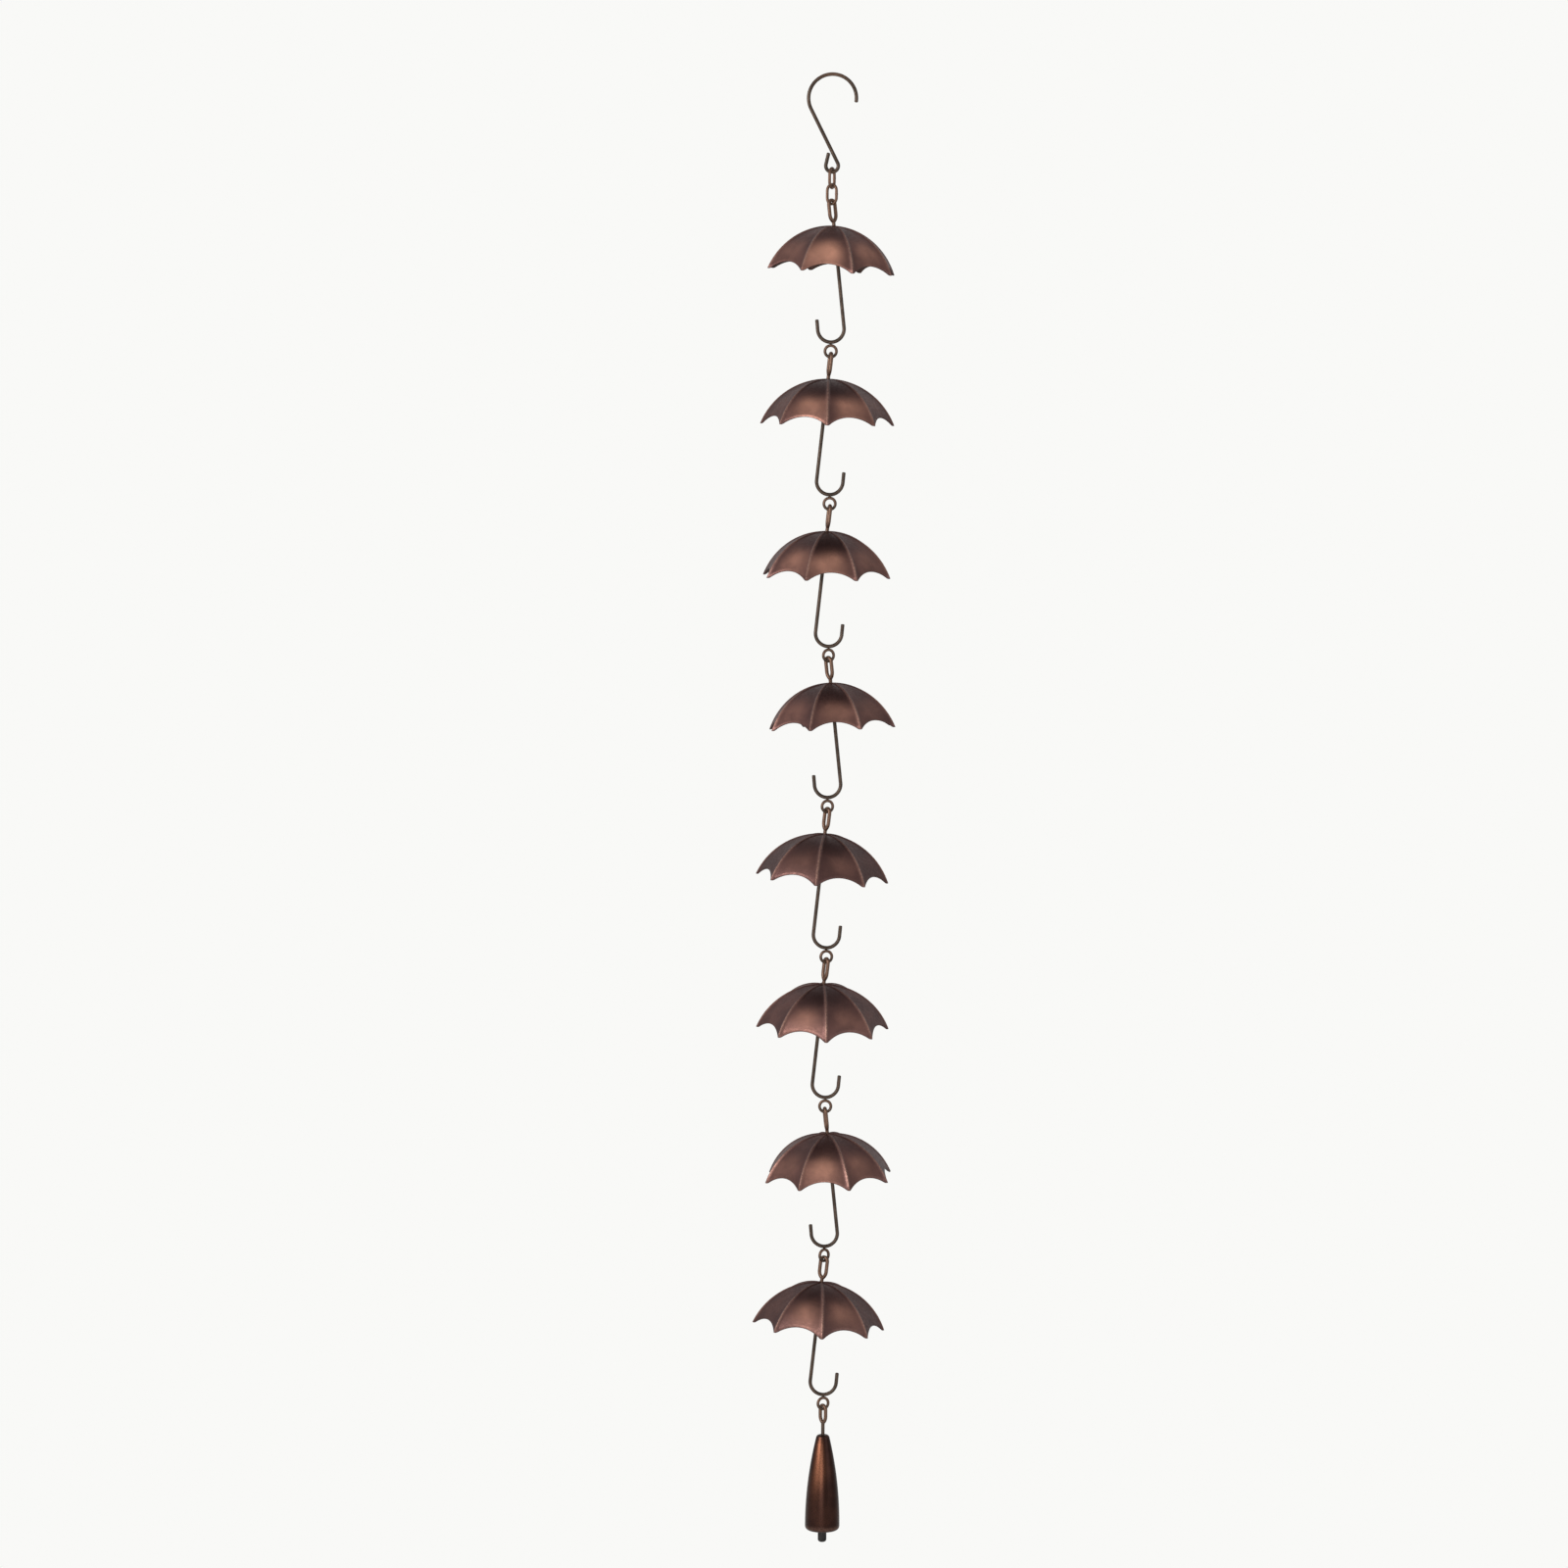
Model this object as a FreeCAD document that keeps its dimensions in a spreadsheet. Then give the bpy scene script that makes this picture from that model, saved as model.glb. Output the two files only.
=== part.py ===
import FreeCAD
import Part
import Sketcher
import math
import os

# Rain chain: eight small sheet-metal umbrellas hung one under the other from an S-hook, with a bell
# at the foot. Millimetres, +Z up, crooks in the XZ plane. The origin is the hang point, the top of
# the S-hook's inner bend.

PANELS = 8
UMBRELLAS = 8
RIB_PITCH = 360 / PANELS

# Driving dimensions. Every radius and length of a bent wire is measured along the middle of the wire.
DRIVING = {
    # Wire sizes, and the play between two linked wires
    "rod_wire": 3.0,
    "ring_wire": 2.4,
    "clapper_wire_size": 2.0,
    "play": 0.3,
    # S-hook: large upper bend, straight shank, small closed loop with a tail
    "hook_bend_radius": 19.5,
    "hook_loop_radius": 5.1,
    "hook_centre_drop": 54.7,
    "hook_tip_overrun": 8.0,
    "hook_tail_turn": 13.0,
    "hook_tail_length": 9.0,
    # Oval links under the S-hook
    "link_length": 15.8,
    "link_width": 10.4,
    # Round rings, each brazed under a crook
    "ring_radius": 4.7,
    "ring_seat_gap": 0.05,
    # Handle: oval eye on a short neck, straight rod and crook, with a braze bead under the canopy
    "eye_radius": 3.4,
    "eye_closing_radius": 7.0,
    "eye_length": 17.2,
    "eye_neck": 3.0,
    "rod_length": 83.5,
    "crook_radius": 10.8,
    "crook_turn": 181.0,
    "crook_tip_length": 8.0,
    "bead_radius": 2.6,
    "bead_seat": 0.3,
    # Canopy: the ribs are arcs from the crown to the rib tips, and the panels run straight from rib to rib.
    # The tips are cut square a little short of their points.
    "canopy_radius": 54.8,
    "canopy_depth": 38.0,
    "rib_width": 2.2,
    "rib_height": 0.7,
    "sheet": 0.9,
    "scallop_depth": 8.0,
    "tip_trim": 0.6,
    "crown_drop": 0.8,
    "crown_hole_play": 0.25,
    # Bell: one long curve from the shoulder to the widest point, then a rolled-in lip
    "bell_eye_length": 11.4,
    "bell_stem_length": 9.8,
    "bell_height": 80.5,
    "bell_widest_radius": 14.4,
    "bell_top_radius": 5.05,
    "bell_lip_radius": 3.8,
    "bell_shoulder_round": 2.8,
    "bell_wall": 1.2,
    "bell_hole_play": 0.15,
    "bell_seat_gap": 0.05,
    "bell_loop_radius": 3.2,
    # Clapper: a striker on a hanger wire
    "clapper_eye_radius": 3.0,
    "clapper_radius": 3.6,
    "clapper_length": 28.0,
    "clapper_reach": 10.0,
    "clapper_end_round": 2.2,
    "clapper_socket_depth": 5.0,
    "clapper_socket_play": 0.05,
    # How each piece has come to hang, in degrees about the vertical, about Y for a tilt and about X for a nod
    "upper_link_turn_1": 68.0,
    "upper_link_turn_2": -44.0,
    "bell_eye_turn": -50.0,
}

# The same for each umbrella from the top down. A crook faces 0 (tip at +X) or 180 (tip at -X).
HANGING = {
    "crook_facing": (180, 0, 0, 180, 0, 0, 180, 0),
    "canopy_turn": (19.0, 0.2, 27.3, 25.7, -5.1, 3.7, 18.7, 3.2),
    "canopy_tilt": (3.2, 0.8, 0.4, -2.2, 3.3, 1.4, -1.5, 3.8),
    "canopy_nod": (2.0, 0.5, 2.0, -1.7, 1.3, 5.8, 3.8, 0.6),
    "eye_turn": (44, -77, -79, -50, -56, -63, -80, -36),
    "ring_turn": (0, 0, 26, 21, 14, 0, 40, 26),
}

doc = FreeCAD.newDocument("rain_chain")
sheet = doc.addObject("Spreadsheet::Sheet", "sizes")


def fill_sheet():
    """Write every driving dimension to the sheet, one row each, with its name as the alias."""
    rows = dict(DRIVING)
    for name, values in HANGING.items():
        for number, value in enumerate(values, 1):
            rows[f"{name}_{number}"] = value
    for row, (alias, value) in enumerate(rows.items(), 1):
        sheet.set(f"A{row}", alias)
        sheet.set(f"B{row}", str(value))
        sheet.setAlias(f"B{row}", alias)
    doc.recompute()


def size(alias):
    """The number that the sheet holds under this name."""
    return float(sheet.get(alias))


# Worked-out lengths, as expressions on the sheet.
# SEAT: between the middles of a thick and a thin wire that are linked, LINK_SEAT: of two thin wires.
SEAT = "((sizes.rod_wire + sizes.ring_wire) / 2 + sizes.play)"
LINK_SEAT = "(sizes.ring_wire + sizes.play)"
CLAPPER_SEAT = "((sizes.rod_wire + sizes.clapper_wire_size) / 2 + sizes.play)"

# S-hook: the shank is the inner tangent of the two bends, at this angle to the vertical.
HOOK_SLANT = "asin((sizes.hook_bend_radius + sizes.hook_loop_radius) / sizes.hook_centre_drop)"
HOOK_BEND_Z = "(sizes.rod_wire / 2 - sizes.hook_bend_radius)"
HOOK_LOOP_Z = f"({HOOK_BEND_Z} - sizes.hook_centre_drop)"
HOOK_FOOT_Z = f"({HOOK_LOOP_Z} - sizes.hook_loop_radius)"
LINK_1_FOOT_Z = f"({HOOK_FOOT_Z} + {SEAT} - sizes.link_length)"
LINK_2_FOOT_Z = f"({LINK_1_FOOT_Z} + {LINK_SEAT} - sizes.link_length)"

# Eye: how far each leg is bent in at its foot, and the height that this takes.
CLOSING_TURN = "acos(1 - sizes.eye_radius / sizes.eye_closing_radius)"
CLOSING_DROP = "sqrt(2 * sizes.eye_closing_radius * sizes.eye_radius - sizes.eye_radius ^ 2)"

# Handle, measured from the middle of the ring wire in its eye. It leans until its crook hangs under
# that point.
CROWN_DROP = f"(sizes.eye_length + sizes.eye_radius - {SEAT})"
CROOK_DROP = f"({CROWN_DROP} + sizes.rod_length)"
LEAN = f"atan(sizes.crook_radius / {CROOK_DROP})"
CROOK_FOOT_DROP = f"(sqrt(sizes.crook_radius ^ 2 + {CROOK_DROP} ^ 2) + sizes.crook_radius)"
RING_TOP_DROP = "((sizes.rod_wire + sizes.ring_wire) / 2 + sizes.ring_seat_gap)"
RING_REACH = f"({RING_TOP_DROP} + 2 * sizes.ring_radius)"
PITCH = f"({CROOK_FOOT_DROP} + {RING_REACH})"

# Canopy: the radius of the ribs' arcs, and the round that cuts one scallop of the rim.
PANEL_COS = f"cos({RIB_PITCH / 2})"
RIB_ARC = "((sizes.canopy_radius ^ 2 + sizes.canopy_depth ^ 2) / (2 * sizes.canopy_depth))"
HALF_CHORD = f"(sizes.canopy_radius * sin({RIB_PITCH / 2}))"
SCALLOP_RADIUS = f"(({HALF_CHORD} ^ 2 + sizes.scallop_depth ^ 2) / (2 * sizes.scallop_depth))"

# Bell, measured down from the middle of the ring wire in the bell wire's eye.
BELL_PIVOT_Z = f"({LINK_2_FOOT_Z} - {UMBRELLAS} * {PITCH})"
BELL_APEX_DROP = f"(sizes.bell_eye_length + sizes.eye_radius - {SEAT})"
BELL_TOP_DROP = f"({BELL_APEX_DROP} + sizes.bell_stem_length)"
BELL_FLARE = "(sizes.bell_widest_radius - sizes.bell_top_radius)"
BELL_SIDE = f"(((sizes.bell_height - sizes.bell_lip_radius) ^ 2 + {BELL_FLARE} ^ 2) / (2 * {BELL_FLARE}))"
LOOP_TOP_DEPTH = "(sizes.bell_wall + sizes.bell_seat_gap + sizes.rod_wire / 2)"
LOOP_DEPTH = f"({LOOP_TOP_DEPTH} + sizes.bell_loop_radius)"
CLAPPER_PIVOT_DEPTH = f"({LOOP_DEPTH} + sizes.bell_loop_radius)"
CLAPPER_EYE_DEPTH = f"({CLAPPER_PIVOT_DEPTH} - {CLAPPER_SEAT} + sizes.clapper_eye_radius)"
STRIKER_TOP_DEPTH = "(sizes.bell_height + sizes.clapper_reach - sizes.clapper_length)"


def pivot_z(number):
    """Height of the wire that umbrella number hangs on."""
    return f"({LINK_2_FOOT_Z} - {number - 1} * {PITCH})"


def place(piece, x="0", y="0", z="0", turn="rotationz(0)"):
    """Bind a piece's place and turn to the sheet."""
    piece.setExpression("Placement", f"placement(vector({x}; {y}; {z}); {turn})")
    return piece


def bind(piece, **sizes):
    """Bind a piece's sizes to the sheet."""
    for name, expression in sizes.items():
        piece.setExpression(name, expression)
    return piece


def straight(name, radius, length):
    """A straight stretch of wire, from its own origin along +Z."""
    return bind(doc.addObject("Part::Cylinder", name), Radius=radius, Height=length)


def bend(name, radius, wire_radius, sweep="360 deg"):
    """A bend of wire about its own Z axis, from its own +X side."""
    return bind(doc.addObject("Part::Torus", name), Radius1=radius, Radius2=wire_radius, Angle3=sweep)


def fuse(name, pieces):
    """Several stretches as one piece."""
    joined = doc.addObject("Part::MultiFuse", name)
    joined.Shapes = pieces
    return joined


def cut(name, base, tool):
    """A piece with a tool's shape taken away."""
    taken = doc.addObject("Part::Cut", name)
    taken.Base = base
    taken.Tool = tool
    return taken


def common(name, pieces):
    """What several pieces share."""
    shared = doc.addObject("Part::MultiCommon", name)
    shared.Shapes = pieces
    return shared


def s_hook():
    """Upper bend from its tip over the top, slanting shank, and the closed loop with its tail."""
    wire = "sizes.rod_wire / 2"
    upper = bend("hook_upper_bend", "sizes.hook_bend_radius", wire,
                 f"180 deg + {HOOK_SLANT} + sizes.hook_tip_overrun * 1 deg")
    place(upper, z=HOOK_BEND_Z, turn="rotationx(90) * rotationz(-sizes.hook_tip_overrun)")
    shank = straight("hook_shank", wire, f"sizes.hook_centre_drop * cos({HOOK_SLANT})")
    place(shank, x=f"sizes.hook_loop_radius * cos({HOOK_SLANT})",
          z=f"{HOOK_LOOP_Z} + sizes.hook_loop_radius * sin({HOOK_SLANT})", turn=f"rotationy(-{HOOK_SLANT})")
    loop = bend("hook_loop", "sizes.hook_loop_radius", wire,
                f"180 deg + {HOOK_SLANT} + sizes.hook_tail_turn * 1 deg")
    place(loop, z=HOOK_LOOP_Z, turn="rotationx(90) * rotationz(180 - sizes.hook_tail_turn)")
    tail = straight("hook_tail", wire, "sizes.hook_tail_length")
    place(tail, x="-sizes.hook_loop_radius * cos(sizes.hook_tail_turn)",
          z=f"{HOOK_LOOP_Z} + sizes.hook_loop_radius * sin(sizes.hook_tail_turn)",
          turn="rotationy(sizes.hook_tail_turn)")
    return fuse("s_hook", [upper, shank, loop, tail])


def oval_link(name, middle_z, turn):
    """A chain link: two half rounds and two straight sides."""
    wire = "sizes.ring_wire / 2"
    half_width = "sizes.link_width / 2"
    half_side = "(sizes.link_length - sizes.link_width) / 2"
    pieces = []
    for end, sign, start in (("top", "", 0), ("foot", "-", 180)):
        round_end = bend(f"{name}_{end}", half_width, wire, "180 deg")
        pieces.append(place(round_end, z=f"{sign}{half_side}", turn=f"rotationx(90) * rotationz({start})"))
    for side, sign in (("left", "-"), ("right", "")):
        leg = straight(f"{name}_{side}", wire, f"2 * {half_side}")
        pieces.append(place(leg, x=f"{sign}{half_width}", z=f"-{half_side}"))
    return place(fuse(name, pieces), z=middle_z, turn=f"rotationz({turn})")


def ring(number):
    """A round ring, brazed under the crook of the umbrella above it."""
    hoop = bend(f"ring_{number}", "sizes.ring_radius", "sizes.ring_wire / 2")
    return place(hoop, z=f"{pivot_z(number)} - {CROOK_FOOT_DROP} - {RING_TOP_DROP} - sizes.ring_radius",
                 turn=f"rotationz(sizes.ring_turn_{number}) * rotationx(90)")


def oval_eye(name, length, turn):
    """An arch of wire with two upright legs, bent in at their feet to meet length below the arch's centre."""
    wire = "sizes.rod_wire / 2"
    level = f"rotationz({turn}) * rotationx(90)"
    arch = bend(f"{name}_arch", "sizes.eye_radius", wire, "180 deg")
    pieces = [place(arch, z=f"{SEAT} - sizes.eye_radius", turn=level)]
    leg_foot = f"{SEAT} - sizes.eye_radius - {length} + {CLOSING_DROP}"
    inset = "(sizes.eye_radius - sizes.eye_closing_radius)"
    for side, sign, start in (("left", "-", "180"), ("right", "", f"-{CLOSING_TURN}")):
        leg = straight(f"{name}_{side}_leg", wire, f"{length} - {CLOSING_DROP}")
        pieces.append(place(leg, x=f"{sign}sizes.eye_radius * cos({turn})",
                            y=f"{sign}sizes.eye_radius * sin({turn})", z=leg_foot))
        closing = bend(f"{name}_{side}_closing", "sizes.eye_closing_radius", wire, CLOSING_TURN)
        pieces.append(place(closing, x=f"{sign}{inset} * cos({turn})", y=f"{sign}{inset} * sin({turn})",
                            z=leg_foot, turn=f"{level} * rotationz({start})"))
    return pieces


def handle(number):
    """Eye, rod and crook bent from one wire, with the bead that the canopy is brazed to."""
    name = f"handle_{number}"
    wire = "sizes.rod_wire / 2"
    pieces = oval_eye(name, "(sizes.eye_length - sizes.eye_neck)",
                      f"sizes.eye_turn_{number} - sizes.crook_facing_{number}")
    rod = straight(f"{name}_rod", wire, "sizes.rod_length + sizes.eye_neck")
    pieces.append(place(rod, z=f"-{CROOK_DROP}"))
    crook = bend(f"{name}_crook", "sizes.crook_radius", wire, "sizes.crook_turn * 1 deg")
    pieces.append(place(crook, x="sizes.crook_radius", z=f"-{CROOK_DROP}",
                        turn="rotationx(90) * rotationz(180)"))
    tip = straight(f"{name}_tip", wire, "sizes.crook_tip_length")
    pieces.append(place(tip, x="sizes.crook_radius * (1 - cos(sizes.crook_turn))",
                        z=f"-{CROOK_DROP} - sizes.crook_radius * sin(sizes.crook_turn)",
                        turn="rotationy(180 - sizes.crook_turn)"))
    bead = bind(doc.addObject("Part::Sphere", f"{name}_bead"), Radius="sizes.bead_radius")
    pieces.append(place(bead, z=f"-{CROWN_DROP} - sizes.crown_drop - sizes.sheet"
                                " - sizes.bead_radius + sizes.bead_seat"))
    return place(fuse(name, pieces), z=pivot_z(number),
                 turn=f"rotationz(sizes.crook_facing_{number}) * rotationy({LEAN})")


def barrel(name, offset):
    """The long vault that a panel is bent to, along Y: its section has the ribs' rise, moved by an offset."""
    arch = bind(doc.addObject("Part::Ellipse", f"{name}_arch"),
                MajorRadius=f"{RIB_ARC} {offset}", MinorRadius=f"{RIB_ARC} * {PANEL_COS} {offset}")
    place(arch, z=f"-{RIB_ARC}", turn="rotationz(90) * rotationy(-90)")
    vault = doc.addObject("Part::Extrusion", name)
    vault.Base = arch
    vault.DirMode = "Normal"
    vault.Symmetric = True
    vault.Solid = True
    return bind(vault, LengthFwd=f"4 * {RIB_ARC}")


def panel():
    """One panel about +X: bent sheet with half a rib along each side, its rim scalloped."""
    length = f"4 * {RIB_ARC}"
    half = f"2 * {RIB_ARC}"
    side = "sizes.rib_width / 2"
    raised = barrel("raised_barrel", "+ sizes.rib_height")
    layers = [barrel("outer_barrel", "+ 0")]
    for name, angle in (("left", RIB_PITCH / 2), ("right", -RIB_PITCH / 2)):
        fin = bind(doc.addObject("Part::Box", f"{name}_fin"),
                   Length=half, Width="sizes.rib_width", Height=half)
        place(fin, x=f"{side} * sin({angle}) - sizes.rib_width * cos({angle})",
              y=f"-{side} * cos({angle}) - sizes.rib_width * sin({angle})",
              z=f"-{RIB_ARC}", turn=f"rotationz({angle})")
        layers.append(common(f"{name}_ridge", [raised, fin]))
    sector = bind(straight("panel_sector", half, half), Angle=f"{RIB_PITCH} deg")
    place(sector, z=f"-{RIB_ARC}", turn=f"rotationz({-RIB_PITCH / 2})")
    block = common("panel_block", [fuse("ribbed_barrel", layers), sector])
    scallop = straight("scallop", SCALLOP_RADIUS, length)
    place(scallop, x=f"-{half}", z=f"-sizes.canopy_depth - {SCALLOP_RADIUS} + sizes.scallop_depth",
          turn="rotationy(90)")
    floor = bind(doc.addObject("Part::Box", "rim_floor"), Length=length, Width=length, Height=half)
    place(floor, x=f"-{half}", y=f"-{half}", z=f"-sizes.canopy_depth + sizes.tip_trim - {half}")
    scalloped = cut("scalloped_block", block, fuse("rim_cutter", [scallop, floor]))
    return cut("panel", scalloped, barrel("inner_barrel", "- sizes.sheet"))


def stamped_canopy():
    """The canopy as stamped, before its crown is pierced: eight panels that meet along their ribs."""
    pattern = panel()
    panels = []
    for index in range(PANELS):
        turned = doc.addObject("App::Link", f"panel_{index + 1}")
        turned.LinkedObject = pattern
        panels.append(place(turned, turn=f"rotationz({RIB_PITCH * (index + 0.5)})"))
    return fuse("stamped_canopy", panels)


def canopy(number, stamped):
    """One canopy, pierced along its own rod and set on it at its own turn, tilt and nod."""
    length = "4 * sizes.rib_height + 8 * sizes.sheet"
    lean = f"cos(sizes.crook_facing_{number}) * {LEAN}"
    turn, tilt, nod = (f"sizes.canopy_{way}_{number}" for way in ("turn", "tilt", "nod"))
    hole = straight(f"crown_hole_{number}", "sizes.rod_wire / 2 + sizes.crown_hole_play", length)
    along_rod = f"rotationz(-{turn}) * rotationx(-{nod}) * rotationy({lean} - {tilt} * 1 deg)"
    hole.setExpression("Placement", f"placement(vector(0; 0; 0); {along_rod})"
                                    f" * placement(vector(0; 0; -({length}) / 2); rotationz(0))")
    drop = f"({CROWN_DROP} + sizes.crown_drop)"
    return place(cut(f"canopy_{number}", stamped, hole), x=f"-{drop} * sin({lean})",
                 z=f"{pivot_z(number)} - {drop} * cos({lean})",
                 turn=f"rotationy({tilt}) * rotationx({nod}) * rotationz({turn})")


def bell_wire():
    """Eye, stem through the bell's top, and the loop inside."""
    wire = "sizes.rod_wire / 2"
    pieces = oval_eye("bell_wire", "sizes.bell_eye_length", "sizes.bell_eye_turn")
    stem_length = f"sizes.bell_stem_length + {LOOP_TOP_DEPTH}"
    stem = straight("bell_wire_stem", wire, stem_length)
    pieces.append(place(stem, z=f"-{BELL_APEX_DROP} - ({stem_length})"))
    loop = bend("bell_wire_loop", "sizes.bell_loop_radius", wire)
    pieces.append(place(loop, z=f"-{BELL_TOP_DROP} - {LOOP_DEPTH}", turn="rotationx(90)"))
    return place(fuse("bell_wire", pieces), z=BELL_PIVOT_Z)


def clapper_wire():
    """The striker's hanger: an eye round the bell wire's loop, and a straight stem."""
    wire = "sizes.clapper_wire_size / 2"
    eye = bend("clapper_wire_eye", "sizes.clapper_eye_radius", wire)
    place(eye, z=f"-{CLAPPER_EYE_DEPTH}", turn="rotationz(90) * rotationx(90)")
    stem_foot = f"({STRIKER_TOP_DEPTH} + sizes.clapper_socket_depth - sizes.bell_seat_gap)"
    stem = straight("clapper_wire_stem", wire,
                    f"{stem_foot} - {CLAPPER_EYE_DEPTH} - sizes.clapper_eye_radius")
    place(stem, z=f"-{stem_foot}")
    return place(fuse("clapper_wire", [eye, stem]), z=f"{BELL_PIVOT_Z} - {BELL_TOP_DROP}")


def origin_plane(body, role):
    """One of a body's own origin planes."""
    return next(feature for feature in body.Origin.OriginFeatures if feature.Role == role)


def new_sketch(body, name, role):
    """A sketch on one of the body's own origin planes."""
    sketch = body.newObject("Sketcher::SketchObject", name)
    sketch.AttachmentSupport = [(origin_plane(body, role), "")]
    sketch.MapMode = "FlatFace"
    return sketch


def dimension(sketch, name, expression, *constraint):
    """Add a named dimension to a sketch and bind it to the sheet."""
    index = sketch.addConstraint(Sketcher.Constraint(*constraint))
    sketch.renameConstraint(index, name)
    sketch.setExpression(f"Constraints.{name}", expression)


def arc(centre, radius, start, end):
    """Part of a circle in a sketch, counter-clockwise between two angles in radians."""
    circle = Part.Circle(FreeCAD.Vector(centre[0], centre[1], 0), FreeCAD.Vector(0, 0, 1), radius)
    return Part.ArcOfCircle(circle, start, end)


def line(start, end):
    """A straight line in a sketch."""
    return Part.LineSegment(FreeCAD.Vector(start[0], start[1], 0), FreeCAD.Vector(end[0], end[1], 0))


def draw_bell_wall(sketch):
    """The bell's wall in section, from the hole in its top round the shoulder to the lip and back inside."""
    wall, height, widest = size("bell_wall"), size("bell_height"), size("bell_widest_radius")
    lip, flare = size("bell_lip_radius"), widest - size("bell_top_radius")
    hole = size("rod_wire") / 2 + size("bell_hole_play")
    waist = lip - height
    side = (waist ** 2 + flare ** 2) / (2 * flare)
    side_centre = (widest - side, waist)
    lip_centre = (widest - lip, waist)
    top_angle = math.asin(-waist / side)
    inner_angle = math.asin((-waist - wall) / (side - wall))
    top_corner = (side_centre[0] + side * math.cos(top_angle), 0)
    inner_corner = (side_centre[0] + (side - wall) * math.cos(inner_angle), -wall)
    top = sketch.addGeometry(line((hole, 0), top_corner))
    outer = sketch.addGeometry(arc(side_centre, side, 0, top_angle))
    outer_lip = sketch.addGeometry(arc(lip_centre, lip, -math.pi / 2, 0))
    lip_end = sketch.addGeometry(line((lip_centre[0], -height), (lip_centre[0], wall - height)))
    inner_lip = sketch.addGeometry(arc(lip_centre, lip - wall, -math.pi / 2, 0))
    inner = sketch.addGeometry(arc(side_centre, side - wall, 0, inner_angle))
    under = sketch.addGeometry(line(inner_corner, (hole, -wall)))
    bore = sketch.addGeometry(line((hole, -wall), (hole, 0)))
    meetings = [(top, 2, outer, 2), (outer_lip, 1, lip_end, 1), (lip_end, 2, inner_lip, 1),
                (inner, 2, under, 1), (under, 2, bore, 1), (bore, 2, top, 1),
                (outer, 3, inner, 3), (outer_lip, 3, inner_lip, 3)]
    for meeting in meetings:
        sketch.addConstraint(Sketcher.Constraint("Coincident", *meeting))
    for level in (top, under):
        sketch.addConstraint(Sketcher.Constraint("Horizontal", level))
    for upright in (lip_end, bore):
        sketch.addConstraint(Sketcher.Constraint("Vertical", upright))
    sketch.addConstraint(Sketcher.Constraint("Tangent", outer, 1, outer_lip, 2))
    sketch.addConstraint(Sketcher.Constraint("Tangent", inner, 1, inner_lip, 2))
    sketch.addConstraint(Sketcher.Constraint("Horizontal", outer_lip, 2, outer_lip, 3))
    sketch.addConstraint(Sketcher.Constraint("Vertical", outer_lip, 1, outer_lip, 3))
    sketch.addConstraint(Sketcher.Constraint("PointOnObject", top, 1, -1))
    dimension(sketch, "side_radius", BELL_SIDE, "Radius", outer, side)
    dimension(sketch, "lip_radius", "sizes.bell_lip_radius", "Radius", outer_lip, lip)
    dimension(sketch, "widest", "sizes.bell_widest_radius", "DistanceX", -1, 1, outer_lip, 2, widest)
    dimension(sketch, "height", "sizes.bell_height", "DistanceY", outer_lip, 1, -1, 1, height)
    dimension(sketch, "wall", "sizes.bell_wall", "DistanceY", lip_end, 1, lip_end, 2, wall)
    dimension(sketch, "top_wall", "sizes.bell_wall", "DistanceY", bore, 1, bore, 2, wall)
    dimension(sketch, "hole", "sizes.rod_wire / 2 + sizes.bell_hole_play", "DistanceX", -1, 1, top, 1, hole)


def circle_edges(shape, level):
    """Names of a shape's round edges at one height."""
    return [f"Edge{index}" for index, edge in enumerate(shape.Edges, 1)
            if isinstance(edge.Curve, Part.Circle) and abs(edge.Curve.Center.z - level) < 1e-4]


def widest_edge(shape, level):
    """Name of the widest round edge at one height."""
    names = circle_edges(shape, level)
    return max(names, key=lambda name: shape.getElement(name).Curve.Radius)


def bell():
    """Spun shell with rounded shoulders, a hole for its wire and a rolled-in lip."""
    body = doc.addObject("PartDesign::Body", "bell")
    sketch = new_sketch(body, "bell_section", "XZ_Plane")
    draw_bell_wall(sketch)
    shell = body.newObject("PartDesign::Revolution", "bell_shell")
    shell.Profile = sketch
    shell.ReferenceAxis = (sketch, ["V_Axis"])
    shell.Angle = 360
    doc.recompute()
    base = shell
    shoulders = (("outer", 0.0, "sizes.bell_shoulder_round"),
                 ("inner", -size("bell_wall"), "sizes.bell_shoulder_round - sizes.bell_wall"))
    for name, level, radius in shoulders:
        shoulder = body.newObject("PartDesign::Fillet", f"bell_{name}_shoulder")
        shoulder.Base = (base, [widest_edge(base.Shape, level)])
        bind(shoulder, Radius=radius)
        doc.recompute()
        base = shoulder
    return place(body, z=f"{BELL_PIVOT_Z} - {BELL_TOP_DROP}")


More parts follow.
